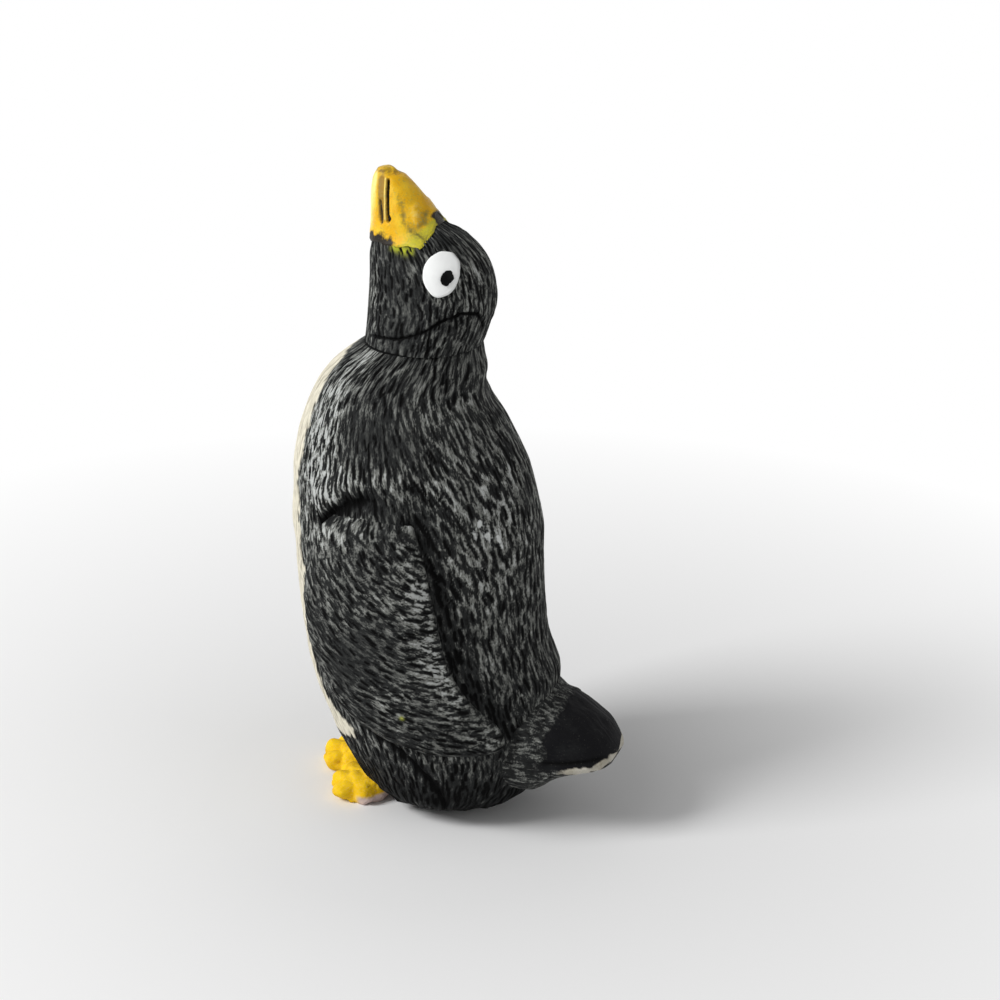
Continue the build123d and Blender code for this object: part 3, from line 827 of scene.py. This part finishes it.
def button(side, half_width, half_height, middle, levels, ragged, seed):
    """A round button on the head: rings of the head's skin, each a share of the radius, lifted
    off it by its own level. The outline wanders by the ragged share."""
    angle = np.radians(np.linspace(0, 360, 96, endpoint=False))
    loop = np.stack([np.cos(angle), np.sin(angle), 0 * angle], axis=-1)
    outline = 1 + ragged * uneven(loop, (1.0, 0.75, seed), (0.6, 0.3, seed + 1))
    share, level = np.array(levels).T
    wander = 1 + (outline - 1) * step(0.6, 1.0, share)[:, None]
    right = middle[0] + half_width * share[:, None] * wander * np.cos(angle)
    up = middle[1] + half_height * share[:, None] * wander * np.sin(angle)
    _, _, out = eye_axes(side)
    return on_skull(right, up, side) + level[:, None, None] * out, {}


def dome(high, rim, buried):
    """Shares of the radius and levels of a button from its buried foot over its edge to its top."""
    edge = [(0.0, buried), (0.97, buried), (1.0, -0.02), (1.0, 0.4 * rim), (0.985, 0.75 * rim)]
    return edge + [(s, rim + (high - rim) * (1 - s**2)) for s in np.linspace(0.95, 0.0, 22)]


# Flippers


def flipper_skin(turn, part):
    """A slice at each height that wraps round the torso: the turn round the slice sets both the
    angle on the torso, between its front and its rear edge, and the lift off it."""
    share = FLIPPER[0, 0] + part * (FLIPPER[-1, 0] - FLIPPER[0, 0])
    front_angle, rear_angle, thick = smooth_table(FLIPPER, share)
    angle = np.radians(turn)
    at = (rear_angle + front_angle) / 2 + (rear_angle - front_angle) / 2 * np.cos(angle)
    front, back, side = torso_reaches(share * SEAM)
    half = (front + back) / 2
    facing = np.stack([half * np.sin(np.radians(at)), -side * np.cos(np.radians(at)), 0 * at], axis=-1)
    facing = facing / np.linalg.norm(facing, axis=-1, keepdims=True)
    rise = np.sin(angle)
    lift = np.where(rise > 0, FLIPPER_THICKNESS * np.abs(rise) ** 0.8, FLIPPER_DEPTH * rise)
    return torso_skin(at, share * SEAM) + facing * (np.clip(thick, 0, None) * lift)[..., None]


def carve_flipper(sizes, side):
    """A flipper: its slices, strokes that sweep from steep at the shoulder to nearly level at
    the tip, and a ridge along its rear edge. Its top sinks into the shoulder. Mirrored for the
    right side."""
    rows, outer, inner = 215, 190, 24
    turn = np.concatenate([np.linspace(0, 180, outer, endpoint=False), np.linspace(180, 360, inner, endpoint=False)])
    part = np.linspace(0, 1, rows)
    part = 0.5 - 0.5 * np.cos(np.pi * part) * (1 - 0.35 * np.sin(np.pi * part) ** 2)
    part = (part - part.min()) / (part.max() - part.min())
    turn, part = np.meshgrid(turn, part)
    points = flipper_skin(turn, part)
    x, y, z = np.moveaxis(points, -1, 0)

    sweep = np.radians(np.interp(z, *STROKE_FALL))
    fall = sweep + 0.35 * bell(y, -5, 3) - 0.20 * bell(turn, 24, 22)
    long, wide = sizes.feather_length / MM, sizes.feather_width / MM
    wavy = (y + 0.20 * noise(points, 1.2, 51), z + 0.20 * noise(points, 1.1, 52))
    deep = scattered_marks(*wavy, fall, 1.30 * wide, 0.50 * long, 0.18 * wide, 321)
    fine = scattered_marks(*wavy, fall, 0.80 * wide, 0.28 * long, 0.12 * wide, 322)
    relief = np.clip(deep * (0.68 + 0.32 * fine) * (0.86 + 0.14 * noise(points, 0.7, 53)), 0, 1)
    out = np.sin(np.radians(turn))
    shown = out > 0
    ridge = bell(turn, 24, 13) * step(0.15, 0.35, part) * (1 - step(0.66, 0.84, part))
    forms = uneven(points, (0.14, 2.6, 55), (0.07, 1.2, 56)) + 0.20 * ridge
    strokes = 0.95 * sizes.feather_depth / MM * (relief - MEAN_RELIEF)
    end = step(0, 0.04, part) * (1 - step(0.96, 1, part)) * shown * np.abs(out) ** 0.3
    inward = np.stack([-x, -y, 0 * z], axis=-1) / np.hypot(x, y)[..., None]
    carved = points + outward(points) * ((forms + strokes) * end)[..., None]
    carved = carved + inward * (1.15 * step(29.7, 31.4, z))[..., None]
    carved[..., 0] *= side

    # Painted light and shade go into this mark along with the brushing: lighter along the raised rear ridge and beside
    # it, towards the front edge higher up and along the top at the shoulder; darker at its lower end and low on its
    # front.
    wear_and_light = 1.2 * ridge + 0.5 * bell(turn, 42, 22) + 0.5 * bell(turn, 150, 30) * part
    wear_and_light += 0.2 * noise(points, 4.0, 57) - 0.9 * (1 - step(0.0, 0.07, part))
    wear_and_light += 0.7 * bell(z, 29.7, 1.1) * step(60, 110, turn) - 0.45 * bell(y, -3, 3) * bell(z, 17, 5)
    across, down, up = np.cos(sweep), np.sin(sweep), z - 20
    flow = np.stack([up * across + y * down, 0.5 * x, y * across - up * down], axis=-1)
    speck = bell(np.hypot(y - SPECK[0], z - SPECK[1]), 0, 0.17) * shown * (side > 0)
    return carved, {"relief": relief, "wear_and_light": wear_and_light, "speck": speck, "flow": flow}


# Tail


def carve_tail(sizes):
    """The tail: slices of two half ovals, a high upper and a low lower one, from the root to the
    tip. Feathers hang over its root, its top is smooth and a rolled rim runs along its edge."""
    columns, rows = 260, 150
    turn, part = ring_grid(columns, np.linspace(0, 1, rows))
    wide, rise, drop = smooth_table(TAIL, part)
    swing, climb = np.sin(np.radians(turn)), np.cos(np.radians(turn))
    x = wide * TAIL_WIDTH * swing
    up = np.where(climb > 0, rise * TAIL_RISE, drop * TAIL_DROP) * climb
    y = TAIL_ROOT + part * (TAIL_TIP - TAIL_ROOT)
    z = TAIL_EDGE + up
    points = np.stack([x, y, z], axis=-1)
    top = step(-0.3, 0.5, up)
    ragged = uneven(points, (0.35, 1.1, 64), (0.25, 0.45, 65))
    hem = 13.75 - 0.035 * x**2 - 0.25 * np.clip(9 - z, 0, 2)
    drape = step(-0.35, 0.35, hem - y + 1.4 * ragged)
    feathered = np.maximum(drape, 1 - top)
    lean = 0.5 * x / TAIL_WIDTH
    wide, long = sizes.feather_width / MM, sizes.feather_length / MM
    relief = carved_strokes(points, x / wide + 200, y / long + 200, lean, 512, 421)
    quills = carved_strokes(points, x / (1.4 * wide) + 100, y / (3 * long) + 50, lean, 512, 521)
    rim = bell(up, 0.22, 0.36) * step(13.0, 15.2, y)
    groove = bell(up, 0.85, 0.16) * step(12.6, 13.6, y) * (1 - step(0.93, 1, part)) * (1 - drape)
    forms = 0.14 * noise(points, 2.4, 62) * top + 0.06 * noise(points, 1.0, 63) + 0.16 * drape * top
    forms += 0.12 * rim - 0.16 * groove - 0.45 * bell(y, 12.6, 0.9) * step(1.5, 3.5, up)
    strokes = 0.6 * feathered * (relief - MEAN_RELIEF) + 0.35 * (1 - feathered) * (quills - MEAN_RELIEF)
    end = step(0, 0.05, part) * (1 - 0.7 * step(0.9, 1, part))
    carved = points + outward(points) * ((forms + sizes.feather_depth / MM * strokes) * end)[..., None]
    stub = shrunk(carved[0], [0.0, 0.6])
    cap = shrunk(carved[-1], [0.75, 0.35, 0.0], [0.06, 0.10, 0.10], (0, 1, 0))

    band = bell(up, 0.15 + 0.30 * step(17, 18.3, y), 0.38 + 0.15 * step(16.8, 18.0, y))
    marks = {
        "relief": np.where(feathered > 0.5, relief, quills),
        "feathered": feathered,
        "pale": step(0.50, 0.80, band + 1.1 * ragged) * step(14.2, 15.0, y + 1.5 * ragged),
        "groove": np.clip(groove, 0, 1),
        "flow": points[..., [0, 2, 1]],
    }
    return np.concatenate([stub, carved, cap]), padded(marks, len(stub), len(cap))


# Feet


def carve_foot(x, y, splay, seed):
    """A foot seen from its own middle: at each bearing and climb the skin is where the ray leaves
    the farthest of its round lumps, with soft hollows between them, cut flat below."""
    columns, rows = 160, 96
    bearing, climb = np.radians(ring_grid(columns, np.linspace(-90, 90, rows)))
    ray = np.stack([np.cos(climb) * np.cos(bearing), np.cos(climb) * np.sin(bearing), np.sin(climb)], axis=-1)
    origin = np.array(FOOT_MIDDLE)
    reach = np.full(ray.shape[:2], 0.1)
    for lump in LUMPS:
        middle, size = np.array(lump[:3]), np.array(lump[3:])
        start, way = (origin - middle) / size, ray / size
        dot, way_size = (start * way).sum(axis=-1), (way**2).sum(axis=-1)
        inside = dot**2 - way_size * ((start**2).sum() - 1)
        leave = np.where(inside > 0, (-dot + np.sqrt(np.maximum(inside, 0))) / way_size, 0)
        reach = soft_max(reach, leave, 0.20)
    local = origin + ray * reach[..., None]
    local = local + ray * uneven(local + seed, (0.28, 1.1, 74), (0.15, 0.6, 71), (0.03, 0.3, 72))[..., None]
    local[..., 2] = np.maximum(local[..., 2], 0)
    turn = math.radians(splay)
    ahead = np.array([math.sin(turn), -math.cos(turn)])
    aside = np.array([-ahead[1], ahead[0]])
    flat = np.array([x, y]) + local[..., :1] * ahead + local[..., 1:2] * aside
    points = np.concatenate([flat, local[..., 2:]], axis=-1)
    hollow = step(0.25, 0.9, 1 - reach / soft_max(reach, np.roll(reach, 6, axis=1), 0.05))
    shade = np.clip(bell(noise(points, 0.9, 73), 0, 0.25) * 0.4 + hollow, 0, 1)
    sole = (1 - step(1.3, 2.1, local[..., 0])) * (1 - step(0.7, 1.2, points[..., 2]))
    return points, {"shade": shade, "sole": sole}


# Paint


class Wire:
    """An output of a paint's node. Python's operators on it add Math nodes."""

    def __init__(self, paint, socket):
        self.paint = paint
        self.socket = socket

    def maths(self, operation, first, second=0.0):
        node = self.paint.node("ShaderNodeMath", {"operation": operation}, {0: first, 1: second})
        return self.paint.out(node)

    def __add__(self, other):
        return self.maths("ADD", self, other)

    def __radd__(self, other):
        return self.maths("ADD", other, self)

    def __sub__(self, other):
        return self.maths("SUBTRACT", self, other)

    def __rsub__(self, other):
        return self.maths("SUBTRACT", other, self)

    def __mul__(self, other):
        return self.maths("MULTIPLY", self, other)

    def __rmul__(self, other):
        return self.maths("MULTIPLY", other, self)

    def larger(self, other):
        return self.maths("MAXIMUM", self, other)

    def clamped(self):
        return self.maths("MINIMUM", self.larger(0.0), 1.0)


class Paint:
    """A material with one Principled shader, filled in step by step."""

    def __init__(self, name, **constants):
        self.material = bpy.data.materials.new(name)
        self.material.use_nodes = True
        self.tree = self.material.node_tree
        self.tree.nodes.clear()
        self.shader = self.node("ShaderNodeBsdfPrincipled", {}, constants)
        self.node("ShaderNodeOutputMaterial", {}, {"Surface": self.out(self.shader)})

    def node(self, kind, settings, sockets):
        """Adds a node: its settings first, and then the values or links of its sockets."""
        made = self.tree.nodes.new(kind)
        for key, value in settings.items():
            setattr(made, key, value)
        for key, value in sockets.items():
            self.feed(made, key.replace("_", " ") if isinstance(key, str) else key, value)
        return made

    def feed(self, node, key, value):
        if isinstance(value, Wire):
            self.tree.links.new(value.socket, node.inputs[key])
        else:
            node.inputs[key].default_value = value

    def out(self, node, key=0):
        return Wire(self, node.outputs[key])

    def mark(self, name):
        """A value kept at the mesh's points."""
        return self.out(self.node("ShaderNodeAttribute", {"attribute_name": name}, {}), "Fac")

    def rough_mark(self, name, gain, grain, rough, less=0.0):
        """A share from a mark whose edge is broken up: gain times the mark, and rough times how
        far the grain is from its middle, less a little."""
        return (self.mark(name) * gain + (grain - 0.5) * rough - less).clamped()

    def flow(self, stretch):
        """The strokes' own directions, squeezed along them."""
        vector = self.out(self.node("ShaderNodeAttribute", {"attribute_name": "flow"}, {}), "Vector")
        scaled = self.node("ShaderNodeVectorMath", {"operation": "MULTIPLY"}, {0: vector, 1: (1, 1, stretch)})
        return self.out(scaled, "Vector")

    def place(self):
        """Object coordinates, in millimetres."""
        vector = self.out(self.node("ShaderNodeTexCoord", {}, {}), "Object")
        scaled = self.node("ShaderNodeVectorMath", {"operation": "SCALE"}, {0: vector, "Scale": 1 / MM})
        return self.out(scaled, "Vector")

    def speckle(self, vector, size, detail=2.0):
        """Noise from about 0 to 1 that changes over one size in mm."""
        sockets = {"Vector": vector, "Scale": 1 / size, "Detail": detail}
        return self.out(self.node("ShaderNodeTexNoise", {}, sockets), 0)

    def mix(self, share, first, second):
        """A colour between two others."""
        first, second = (c if isinstance(c, Wire) else (*c, 1.0) for c in (first, second))
        node = self.node("ShaderNodeMix", {"data_type": "RGBA"}, {0: share, 6: first, 7: second})
        return self.out(node, 2)

    def finish(self, base, roughness, height, depth):
        """Feeds the shader: colour, roughness and a fine bump, its depth in mm."""
        bump = self.node("ShaderNodeBump", {}, {"Strength": 1.0, "Distance": depth * MM, "Height": height})
        self.feed(self.shader, "Base Color", base)
        self.feed(self.shader, "Roughness", roughness)
        self.feed(self.shader, "Normal", self.out(bump, "Normal"))
        return self.material


def feather_coat(paint, colours, relief, streaks, fine, amount):
    """Charcoal with a black wash in the grooves, which also paints shade where painted shadow is taken off the relief,
    and grey brushed by an amount over the raised strokes, brightest where the brush caught most and where the amount
    carries painted light. The brightest touches take the pale colour as painted glints."""
    groove = (2.3 - relief * 4.0 + (fine - 0.5) * 1.8).clamped()
    cut = ((0.40 - streaks) * 9.0).clamped()
    ground = paint.mix(groove.larger(cut * 0.9), colours.charcoal, colours.wash)
    touch = relief * 2.8 + (streaks - 0.5) * 4.6 + (fine - 0.5) * 2.6 - 1.95
    brushed = (touch * amount * 1.35).clamped()
    coat = paint.mix(brushed, ground, colours.brushed)
    # Painted glints: the brightest touches take the pale colour of the bare spots.
    return paint.mix((touch * amount * 1.2 - 0.95).clamped() * 0.6, coat, colours.worn)


def feather_paint(colours):
    """Brushed charcoal feathers with painted light and shade, a cream belly under ragged strokes, and a few bare spots.
    """
    paint = Paint("feather_paint", Specular_IOR_Level=0.03)
    relief, wear_and_light = paint.mark("relief"), paint.mark("wear_and_light")
    place = paint.place()
    streaks = paint.speckle(paint.flow(0.28), 0.30, 3.0)
    fine = paint.speckle(paint.flow(0.5), 0.11)
    patchy = paint.speckle(place, 2.6, 3.0)
    grain = paint.speckle(place, 0.05)
    # The amount of brushing also carries the painted light and shade of the mark read above.
    amount = ((patchy - 0.5) * 1.6 + 0.60 + wear_and_light * 0.8).larger(0.08)
    coat = feather_coat(paint, colours, relief + wear_and_light.clamped() * 0.12, streaks, fine, amount)
    belly = paint.mix((relief * 0.9 + (streaks - 0.5) * 1.5 + 0.15).clamped(), colours.cream_wash, colours.cream)
    coat = paint.mix(paint.mark("cream"), coat, belly)
    bare = (paint.mark("scuff") * 2.9 + (fine - 0.5) * 3.0 + relief - 1.7).clamped()
    coat = paint.mix(bare, coat, colours.worn)
    coat = paint.mix(paint.mark("speck").clamped() * 0.85, coat, colours.slip)
    height = relief * 1.3 + streaks + fine * 0.6 + grain * 0.3
    return paint.finish(coat, 0.60 + (grain - 0.5) * 0.1, height, 0.08)


def tail_paint(colours):
    """Smooth black, feathered towards the root and below, with a pale ragged rim."""
    paint = Paint("tail_paint", Specular_IOR_Level=0.04)
    place = paint.place()
    grain = paint.speckle(place, 0.15, 3.0)
    patchy = paint.speckle(place, 1.8, 3.0)
    streaks = paint.speckle(paint.flow(0.25), 0.25, 3.0)
    smooth = ((patchy - 0.48) * 2.2 + (streaks - 0.5) * 1.2).clamped()
    top = paint.mix(smooth * 0.7, colours.tail_black, colours.charcoal)
    relief = paint.mark("relief") * 0.45 + 0.42
    coat = feather_coat(paint, colours, relief, streaks, grain, (patchy * 1.5 - 0.05).clamped())
    coat = paint.mix(paint.rough_mark("feathered", 1.2, grain, 0.6, 0.1), top, coat)
    coat = paint.mix(paint.mark("groove"), coat, colours.wash)
    rim = paint.mix((patchy * 1.6 - 0.35 + (grain - 0.5) * 0.6).clamped(), colours.cream_wash, colours.tail_rim)
    coat = paint.mix(paint.rough_mark("pale", 1.2, grain, 0.7, 0.1), coat, rim)
    return paint.finish(coat, 0.58 + (grain - 0.5) * 0.2, grain * 0.5 + streaks, 0.04)


def beak_paint(colours):
    """Yellow over the beak, paler in front, where a highlight is painted along its front edge, its ridge and its nub,
    thinner and greener behind, ochre between the slits as the painted shade of the sunken panel there, and olive in a
    ring round the nostril, with a dark wash in its lines."""
    paint = Paint("beak_paint", Specular_IOR_Level=0.15)
    place = paint.place()
    patchy = paint.speckle(place, 1.3, 3.0)
    grain = paint.speckle(place, 0.20, 4.0)
    fine = paint.speckle(place, 0.07)
    coat = paint.mix(((patchy - 0.42) * 3.0).clamped() * 0.8, colours.beak_yellow, colours.beak_light)
    for mark, gain, rough, less, cover, colour_over in (
        ("lemon", 1.1, 1.4, 0.05, 0.9, colours.beak_lemon),
        ("ochre", 1.2, 1.2, 0.10, 1.0, colours.beak_ochre),
        ("olive", 1.1, 1.3, 0.10, 1.0, colours.beak_olive),
        ("pale", 1.1, 0.8, 0.05, 1.0, colours.beak_cream),
        ("wash", 1.25, 1.1, 0.12, 1.0, colours.beak_wash),
    ):
        coat = paint.mix(paint.rough_mark(mark, gain, grain, rough, less) * cover, coat, colour_over)
    dots = ((fine - 0.60) * 7.0 * paint.mark("lemon")).clamped()
    coat = paint.mix(dots * 0.5, coat, colours.beak_olive)
    return paint.finish(coat, 0.40 + (fine - 0.5) * 0.3, grain + fine * 0.6, 0.04)


def knobbly_yellow(colours):
    """Yellow over the lumpy feet, deeper in the hollows, and bare along the edge of the sole."""
    paint = Paint("knobbly_yellow", Specular_IOR_Level=0.03)
    place = paint.place()
    patchy = paint.speckle(place, 0.9, 3.0)
    grain = paint.speckle(place, 0.15, 3.0)
    shade = (paint.mark("shade") + (patchy - 0.55) * 1.4).clamped()
    coat = paint.mix(shade * 0.75, colours.foot_yellow, colours.foot_shade)
    coat = paint.mix(paint.rough_mark("sole", 1.0, grain, 0.8), coat, colours.sole)
    return paint.finish(coat, 0.58 + (grain - 0.5) * 0.2, grain, 0.05)


def eye_paint(colours):
    """White enamel, slightly uneven."""
    paint = Paint("eye_paint", Specular_IOR_Level=0.5, Coat_Roughness=0.2)
    place = paint.place()
    patchy = paint.speckle(place, 0.9)
    grain = paint.speckle(place, 0.12)
    coat = paint.mix(((patchy - 0.45) * 1.4).clamped() * 0.35, colours.eye_white, colours.eye_shade)
    return paint.finish(coat, 0.32 + (grain - 0.5) * 0.15, patchy + grain * 0.2, 0.05)


def pupil_paint(colours):
    """Black gloss."""
    paint = Paint("pupil_paint", Specular_IOR_Level=0.05)
    grain = paint.speckle(paint.place(), 0.3)
    coat = paint.mix(grain, colours.pupil, colours.pupil_shade)
    return paint.finish(coat, 0.12 + grain * 0.1, grain, 0.03)


# Pieces


def settle(context, name, skin, node, body, recipe):
    """Makes a piece from its rings and marks, with the paint of a recipe, gives it its body and hides the solid that it
    stands for. The paint is mixed when it is first needed. Its name is the recipe's and differs from every slot's,
    because a slot's own flat paint is there already."""
    piece = closed_skin(name, *skin)
    paint = bpy.data.materials.get(recipe.__name__) or recipe(context.scene.penguin_paints)
    piece.data.materials.append(paint)
    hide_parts(node)
    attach(piece, body)


class CarveTorso(bpy.types.Operator):
    """Carve the torso"""

    bl_idname = "penguin.carve_torso"
    bl_label = "Torso"

    def execute(self, context):
        skin = carve_torso(context.scene.penguin_sizes)
        settle(context, "torso", skin, "body", "torso", feather_paint)
        return {"FINISHED"}


class CarveHead(bpy.types.Operator):
    """Carve the head on its neck plug"""

    bl_idname = "penguin.carve_head"
    bl_label = "Head"

    def execute(self, context):
        skin = carve_head(context.scene.penguin_sizes)
        settle(context, "feathered_head", skin, "head", "head", feather_paint)
        return {"FINISHED"}


class CarveBeak(bpy.types.Operator):
    """Carve the beak"""

    bl_idname = "penguin.carve_beak"
    bl_label = "Beak"

    def execute(self, context):
        settle(context, "yellow_beak", carve_beak(), "beak", "head", beak_paint)
        return {"FINISHED"}


class SetEyes(bpy.types.Operator):
    """Set the eyes and their pupils"""

    bl_idname = "penguin.set_eyes"
    bl_label = "Eyes"

    def execute(self, context):
        sizes = context.scene.penguin_sizes
        width, height, pupil = sizes.eye_width / MM, sizes.eye_height / MM, sizes.pupil_radius / MM
        for word, side, seed in (("left", 1, 81), ("right", -1, 91)):
            skin = button(side, width, height, (0, 0), dome(0.25, 0.20, -0.7), 0.03, seed)
            settle(context, f"{word}_eye_white", skin, f"{word}_eye", "head", eye_paint)
            skin = button(side, 0.77 * pupil, pupil, PUPIL_MIDDLE, dome(0.48, 0.38, -0.3), 0.17, seed + 4)
            settle(context, f"{word}_eye_bead", skin, f"{word}_pupil", "head", pupil_paint)
        return {"FINISHED"}


class CarveFlippers(bpy.types.Operator):
    """Carve both flippers"""

    bl_idname = "penguin.carve_flippers"
    bl_label = "Flippers"

    def execute(self, context):
        for word, side in (("left", 1), ("right", -1)):
            skin = carve_flipper(context.scene.penguin_sizes, side)
            settle(context, f"{word}_wing", skin, f"{word}_flipper", "torso", feather_paint)
        return {"FINISHED"}


class CarveTail(bpy.types.Operator):
    """Carve the tail"""

    bl_idname = "penguin.carve_tail"
    bl_label = "Tail"

    def execute(self, context):
        skin = carve_tail(context.scene.penguin_sizes)
        settle(context, "quilled_tail", skin, "tail", "torso", tail_paint)
        return {"FINISHED"}


class CarveFeet(bpy.types.Operator):
    """Carve both feet"""

    bl_idname = "penguin.carve_feet"
    bl_label = "Feet"

    def execute(self, context):
        for seed, (node, (x, y, splay)) in enumerate(FEET.items()):
            skin = carve_foot(x, y, splay, 10.0 * seed)
            settle(context, f"webbed_{node}", skin, node, "torso", knobbly_yellow)
        return {"FINISHED"}


class SetStage(bpy.types.Operator):
    """Set the camera, the floor and the light"""

    bl_idname = "penguin.set_stage"
    bl_label = "Stage"

    def execute(self, context):
        stage = context.scene.penguin_stage
        across, climb = stage.azimuth, stage.elevation
        flat = math.cos(climb)
        back = np.array([math.sin(across) * flat, -math.cos(across) * flat, math.sin(climb)])
        right = np.array([math.cos(across), math.sin(across), 0])
        aim = np.array(stage.aim)
        add_camera(aim + back * stage.distance, back, stage.lens)
        for name, (aside, nearer, up, distance, size, energy) in LAMPS.items():
            add_lamp(name, aim, aside * right + nearer * back + (0, 0, up), distance, size, energy)
        add_floor(context.scene.penguin_paints)
        add_sky(stage.sky)
        context.scene.view_settings.view_transform = "Standard"
        return {"FINISHED"}


def looking(back):
    """The turn of a camera or lamp that looks along minus back."""
    return Vector(tuple(-back)).to_track_quat("-Z", "Y").to_euler()


def add_camera(place, back, lens):
    """A camera with the photograph's place and lens."""
    camera = bpy.data.objects.new("camera", bpy.data.cameras.new("camera"))
    camera.location = tuple(place)
    camera.rotation_euler = looking(back)
    camera.data.lens = lens
    camera.data.clip_start = 0.01
    bpy.context.scene.collection.objects.link(camera)
    bpy.context.scene.camera = camera


def add_lamp(name, aim, direction, distance, size, energy):
    """A large square lamp that looks at the aim from a distance."""
    direction = direction / np.linalg.norm(direction)
    light = bpy.data.lights.new(name, "AREA")
    light.size = size
    light.energy = energy
    lamp = bpy.data.objects.new(name, light)
    lamp.location = tuple(aim + direction * distance)
    lamp.rotation_euler = looking(direction)
    bpy.context.scene.collection.objects.link(lamp)


def ray_seen(tree):
    """1 for rays from the camera, or by way of a mirror or glass, and 0 for the rays that light."""
    rays = tree.nodes.new("ShaderNodeLightPath")
    seen = rays.outputs["Is Camera Ray"]
    for kind in ("Is Glossy Ray", "Is Transmission Ray"):
        either = tree.nodes.new("ShaderNodeMath")
        either.operation = "MAXIMUM"
        tree.links.new(seen, either.inputs[0])
        tree.links.new(rays.outputs[kind], either.inputs[1])
        seen = either.outputs[0]
    return seen


def add_floor(colours):
    """A wide pale floor. It keeps the figurine's shadow and turns to plain white farther away."""
    size = 1.5
    mesh = bpy.data.meshes.new("floor")
    corners = [(-size, -size, 0), (size, -size, 0), (size, size, 0), (-size, size, 0)]
    mesh.from_pydata(corners, [], [(0, 1, 2, 3)])
    floor = bpy.data.objects.new("floor", mesh)
    bpy.context.scene.collection.objects.link(floor)
    paint = Paint("floor", Roughness=0.9, Specular_IOR_Level=0.1, Base_Color=(*colours.floor, 1))
    far = paint.out(paint.node("ShaderNodeVectorMath", {"operation": "LENGTH"}, {0: paint.place()}), "Value")
    white = paint.node("ShaderNodeEmission", {}, {"Color": (1, 1, 1, 1), "Strength": 1.0})
    away = ((far - FLOOR_WHITE_FROM) * (1 / FLOOR_WHITE_OVER)).clamped()
    share = away * Wire(paint, ray_seen(paint.tree))
    mixed = paint.node("ShaderNodeMixShader", {}, {0: share, 1: paint.out(paint.shader), 2: paint.out(white)})
    paint.feed(paint.tree.nodes["Material Output"], "Surface", paint.out(mixed))
    mesh.materials.append(paint.material)


def add_sky(strength):
    """Even light from all round, which the camera and mirrors see as white."""
    world = bpy.data.worlds.new("sky")
    world.use_nodes = True
    bpy.context.scene.world = world
    tree = world.node_tree
    level = tree.nodes.new("ShaderNodeMapRange")
    tree.links.new(ray_seen(tree), level.inputs["Value"])
    level.inputs["To Min"].default_value = strength
    level.inputs["To Max"].default_value = 1.0
    sky = tree.nodes["Background"]
    sky.inputs["Color"].default_value = (1, 1, 1, 1)
    tree.links.new(level.outputs["Result"], sky.inputs["Strength"])


OPERATORS = (CarveTorso, CarveHead, CarveBeak, SetEyes, CarveFlippers, CarveTail, CarveFeet, SetStage)


class PenguinPanel(bpy.types.Panel):
    """Sizes, paints and makers of the figurine's pieces."""

    bl_idname = "VIEW3D_PT_penguin"
    bl_label = "Penguin figurine"
    bl_space_type = "VIEW_3D"
    bl_region_type = "UI"
    bl_category = "Penguin"

    def draw(self, context):
        for group in (context.scene.penguin_sizes, context.scene.penguin_paints, context.scene.penguin_stage):
            box = self.layout.box()
            for key in group.__annotations__:
                box.prop(group, key)
        for operator in OPERATORS:
            self.layout.operator(operator.bl_idname)


GROUPS = {"penguin_sizes": PenguinSizes, "penguin_paints": PenguinPaints, "penguin_stage": PenguinStage}


def register():
    for name, group in GROUPS.items():
        bpy.utils.register_class(group)
        setattr(bpy.types.Scene, name, bpy.props.PointerProperty(type=group))
    for made in (*OPERATORS, PenguinPanel):
        bpy.utils.register_class(made)


def unregister():
    for made in (PenguinPanel, *OPERATORS):
        bpy.utils.unregister_class(made)
    for name, group in GROUPS.items():
        delattr(bpy.types.Scene, name)
        bpy.utils.unregister_class(group)


def main():
    register()
    for operator in OPERATORS:
        group, call = operator.bl_idname.split(".")
        getattr(getattr(bpy.ops, group), call)()


if __name__ == "__main__":
    main()
